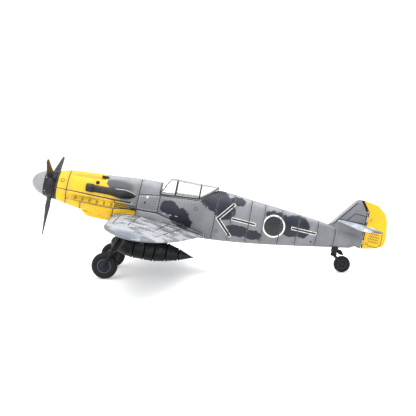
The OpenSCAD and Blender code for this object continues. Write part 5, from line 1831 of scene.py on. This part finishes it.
def tail_fork():
    """Fat strut, crown and two tapered arms either side of the tail wheel."""
    swivel = TAIL_X - 5.2
    crown = smooth(KEEL, swivel) - 2.9
    arm_y = TAIL_W / 2 + 0.3
    top = craft_box("tail_fork")[1].z
    parts = [bar((swivel, 0, crown - 1.0), (swivel, 0, top), 0.9, 28),
             bar((swivel, 0, crown - 1.6), (swivel, 0, crown), 1.6, 32),
             bar((swivel, 0, crown - 0.45), (swivel, 0, crown - 0.1), 1.75, 32),
             block((swivel - 0.8, -arm_y - 0.8, crown - 1.6),
                   (swivel + 0.8, arm_y + 0.8, crown - 0.2), 0.18)]
    along = Vector((TAIL_X - swivel, 0, TAIL_AXLE_Z - crown + 0.9)).normalized()
    wide = Vector((-along.z, 0, along.x))
    for s in (-1, 1):
        y = s * (arm_y + 0.4)
        loops = []
        for i in range(15):
            t = i / 14
            c = Vector((lerp(swivel, TAIL_X, t), y, lerp(crown - 0.9, TAIL_AXLE_Z, t)))
            half = lerp(0.8, 0.95, t) - 0.18 * math.sin(math.pi * t)
            deep = 0.35 if i in (0, 14) else 0.4
            loops.append([])
            for a in circle(20, 0.5):
                flat = 1.0 if abs(math.sin(a)) < 0.8 else 0.9
                loops[-1].append(c + wide * half * math.cos(a) * flat + ACROSS * deep * math.sin(a))
        parts.append(loops_mesh(loops))
        parts.append(bar((TAIL_X, y - 0.4, TAIL_AXLE_Z), (TAIL_X, y + 0.4, TAIL_AXLE_Z), 1.1, 30))
    # fat gaiter that leans back from the crown to the top of the wheel
    loops = []
    foot = Vector((TAIL_X - 1.3, 0, TAIL_AXLE_Z + TAIL_R + 0.35))
    head = Vector((swivel + 1.9, 0, crown + 2.15))
    for i in range(13):
        t = i / 12
        c = head.lerp(foot, t)
        half = lerp(1.75, 1.45, t) + 0.14 * math.cos(6 * math.pi * t)
        if i in (0, 12):
            half -= 0.3
        loops.append([c + Vector((half * math.cos(a), half * 0.9 * math.sin(a), 0)) for a in circle(28)])
    parts.append(loops_mesh(loops, flip=True))
    make("tail_fork_arms", *join(parts), GEAR, "tail_fork", ("tail_fork",), None, 35)


tail_fork()

# ---- drop tank ----

TANK_X, TANK_LONG, TANK_R, TANK_Z = 45.4, 43.3, 6.0, -22.8
TANK_BANDS = [57.8, 63.5, 68.5, 74.5, 80.9]


def tank_r(t):
    if t < 0.3:
        return TANK_R * math.sqrt(1 - (1 - t / 0.3) ** 2)
    return TANK_R * (1 if t < 0.45 else max(0.05, 1 - ((t - 0.45) / 0.55) ** 1.7))


def tank_profile():
    near = (-0.6, -0.42, -0.3, -0.14, 0, 0.14, 0.3, 0.42, 0.6)
    fixed = [(b - TANK_X) / TANK_LONG + d / TANK_LONG for b in TANK_BANDS for d in near]
    plain = [(i / 60) ** 1.3 for i in range(61)]
    plain = [t for t in plain if min(abs(t - f) for f in fixed) > 0.008]
    out = []
    for t in sorted(fixed + plain):
        r = max(0.05, tank_r(t))
        away = min(abs(TANK_X + t * TANK_LONG - b) for b in TANK_BANDS)
        level = clamp(1 - away / 0.3)
        ridge = 0.3 * clamp(1 - abs(away - 0.6) / 0.4) if t > 0.2 else 0.0
        out.append((r - 0.62 * level * min(1, r / 2) + ridge * min(1, r / 3), t, level))
    return out


def tank():
    """Both tank halves with grooved bands, two raised panels and a filler cap."""
    outer, inner, wash = [], [], []
    steps = 30
    for r, t, level in tank_profile():
        x = TANK_X + t * TANK_LONG
        outer.append([])
        inner.append([])
        for k in range(steps + 1):
            a = math.radians(lerp(-90, 90, k / steps))
            seam = clamp(1 - (90 - abs(math.degrees(a))) / 4.5)
            rr = r - 0.2 * seam * min(1, r / 3)
            outer[-1].append(Vector((x, -max(0.03, rr * math.cos(a)), TANK_Z + rr * math.sin(a))))
            rr = max(0.02, rr - 1.2)
            inner[-1].append(Vector((lerp(x, TANK_X + 0.5 * TANK_LONG, 0.03),
                                     -max(0.03, rr * math.cos(a)), TANK_Z + rr * math.sin(a))))
            wash.append(max(level, seam))
    make_pair("tank", *shell_mesh(outer, inner), TANK, "tank_half", {"wash": wash}, 40)
    slot = SLOTS["tank_half_left"]
    panels = [block((60.2, -5.9, TANK_Z + 1.9), (62.6, -5.35, TANK_Z + 3.2), 0.1),
              block((70.4, -5.1, TANK_Z + 1.3), (72.6, -4.55, TANK_Z + 2.4), 0.1)]
    make("tank_panels", *both_sides(panels), TANK, slot=slot)
    cap = [(0.95, -0.2), (0.95, 0.22), (0.75, 0.34), (0.3, 0.36)]
    cap_at = (61.0, 0, TANK_Z + TANK_R - 0.15)
    make("tank_filler", *lathe(cap, cap_at, (0, 0, 1), AFT_AXIS, 28), GUN, slot=slot)


def tank_pylon():
    """Rack with a round nose and a pointed tail, held by four short struts."""
    low, high = [corner.z for corner in craft_box("tank_rack")]
    taper = [(62, -1.9), (68, -1.8), (72, -1.4), (75, -0.7), (76, -0.3)]
    loops = []
    for z, grow in ((low, 0.28), (low + 0.35, 0.28), (low + 0.7, 0.0), (high - 0.3, 0.0), (high, 0.0)):
        nose = [math.radians(a) for a in range(90, 271, 12)]
        loop = [Vector((54 + (3 + grow) * math.cos(a), (1.9 + grow) * math.sin(a), z)) for a in nose]
        for x, y in taper + [(x, -y) for x, y in taper[::-1]]:
            loop.append(Vector((x, y + math.copysign(grow if abs(y) > 0.5 else 0, y), z)))
        loops.append(loop)
    parts = [loops_mesh(loops)]
    for x in (58.5, 66.5):
        for s in (-1, 1):
            y = s * 3.6
            parts.append(bar((x, s * 1.7, (low + high) / 2), (x, y, TANK_Z + 4.9), 0.32, 12))
            parts.append(bar((x, y, TANK_Z + 4.6), (x, y, TANK_Z + 5.2), 0.6, 16))
    make("tank_pylon", *join(parts), GEAR, "airframe", ("tank_rack",), None, 35)


tank()
tank_pylon()

# ---- cockpit, kept CAD pieces ----


def cockpit_extras():
    """Dials, side consoles, seat cushion and straps."""
    ring = [(0.62, 0.0), (0.62, 0.16), (0.5, 0.22), (0.46, 0.1)]
    dials = [lathe(ring, (69.62, y, z), AFT_AXIS, ACROSS, 20) for y in (-3, -1, 1, 3) for z in (2.2, 0.4)]
    make("dials", *join(dials), STEEL, slot="cockpit_gray")
    consoles = [block((70.5, s * 4.6 - 0.7, -4.1), (88.0, s * 4.6 + 0.7, -0.6), 0.2) for s in (-1, 1)]
    for s in (-1, 1):
        for i in range(6):
            x = 73 + 2.1 * i
            consoles.append(bar((x, s * 4.6, -0.7), (x, s * 4.6, 0.1), 0.28, 12, 0.2))
    make("consoles", *join(consoles), GUN, slot="cockpit_gray")
    soft = [block((79.5, -2.6, -2.6), (84.0, 2.6, -1.9), 0.25)]
    for s in (-1, 1):
        path = [Vector((84.55 + 0.18 * z - 0.03, s * 1.1, -2.2 + z)) for z in (0, 1.2, 2.4, 3.6, 4.8)]
        soft.append(ribbon(path, [Vector((-1, 0, 0.15))] * 5, 0.3, 0.16, 0.1))
    make("seat_pad", *join(soft), CREAM, slot="cockpit_gray")


cockpit_extras()
KEPT = {"nose_bushing": COCKPIT, "cockpit_tub": COCKPIT, "pilot_seat": COCKPIT,
        "instrument_panel": GUN, "control_stick": GUN, "hood_hinge": STEEL,
        "rudder_hinge": YELLOW_PLAIN, "propeller_shaft": STEEL, "shaft_retainer": COCKPIT,
        "axle_left": GEAR, "axle_right": GEAR, "tail_socket": GEAR, "tail_axle": GEAR}
for node_name, material in KEPT.items():
    obj = NODES[node_name]
    obj.data.materials.clear()
    obj.data.materials.append(material)
    bevel = obj.modifiers.new("edges", "BEVEL")
    bevel.width = 0.12 * MM
    bevel.segments = 2
    bevel.limit_method = "ANGLE"

# ---- stage, light and camera ----


def stage():
    """Plain pale floor under the model."""
    count = 9
    spread = [lerp(-1.6, 1.6, i / (count - 1)) for i in range(count)]
    verts = [(x, y, 0) for y in spread for x in spread]
    rows = [[j * count + i for i in range(count)] for j in range(count)]
    faces = [face for a, b in zip(rows, rows[1:]) for face in strip_faces(a, b, False)]
    mesh = bpy.data.meshes.new("floor")
    mesh.from_pydata(verts, [], faces)
    mesh.materials.append(pale_floor())
    floor = bpy.data.objects.new("floor", mesh)
    bpy.context.scene.collection.objects.link(floor)


def area_light(name, at, aim, size, power):
    data = bpy.data.lights.new(name, "AREA")
    data.shape = "RECTANGLE"
    data.size, data.size_y = size
    data.energy = power
    lamp = bpy.data.objects.new(name, data)
    lamp.location = at
    lamp.rotation_euler = (Vector(aim) - Vector(at)).to_track_quat("-Z", "Y").to_euler()
    bpy.context.scene.collection.objects.link(lamp)


def studio():
    world = bpy.data.worlds.new("studio")
    world.use_nodes = True
    backdrop = world.node_tree.nodes["Background"]
    backdrop.inputs["Color"].default_value = (1.0, 1.0, 1.0, 1.0)
    backdrop.inputs["Strength"].default_value = 1.08
    bpy.context.scene.world = world
    area_light("overhead", (0.05, -0.12, 0.75), (0.0, 0.0, 0.0), (0.9, 0.7), 7.0)
    area_light("front_fill", (-0.35, -0.75, 0.35), (0.0, 0.0, 0.03), (0.7, 0.5), 3.2)
    bpy.context.scene.view_settings.view_transform = "Standard"


def camera():
    """The photographed view: a little above the model and square to its port side."""
    aim = Vector((-0.0011, 0.0, 0.0334))
    distance, elevation = 0.430, math.radians(5.0)
    data = bpy.data.cameras.new("photo_view")
    data.lens = 72.3
    data.sensor_width = 36.0
    view = bpy.data.objects.new("photo_view", data)
    view.location = aim + Vector((0, -math.cos(elevation), math.sin(elevation))) * distance
    view.rotation_euler = (math.pi / 2 - elevation, 0, 0)
    bpy.context.scene.collection.objects.link(view)
    bpy.context.scene.camera = view


stage()
studio()
camera()
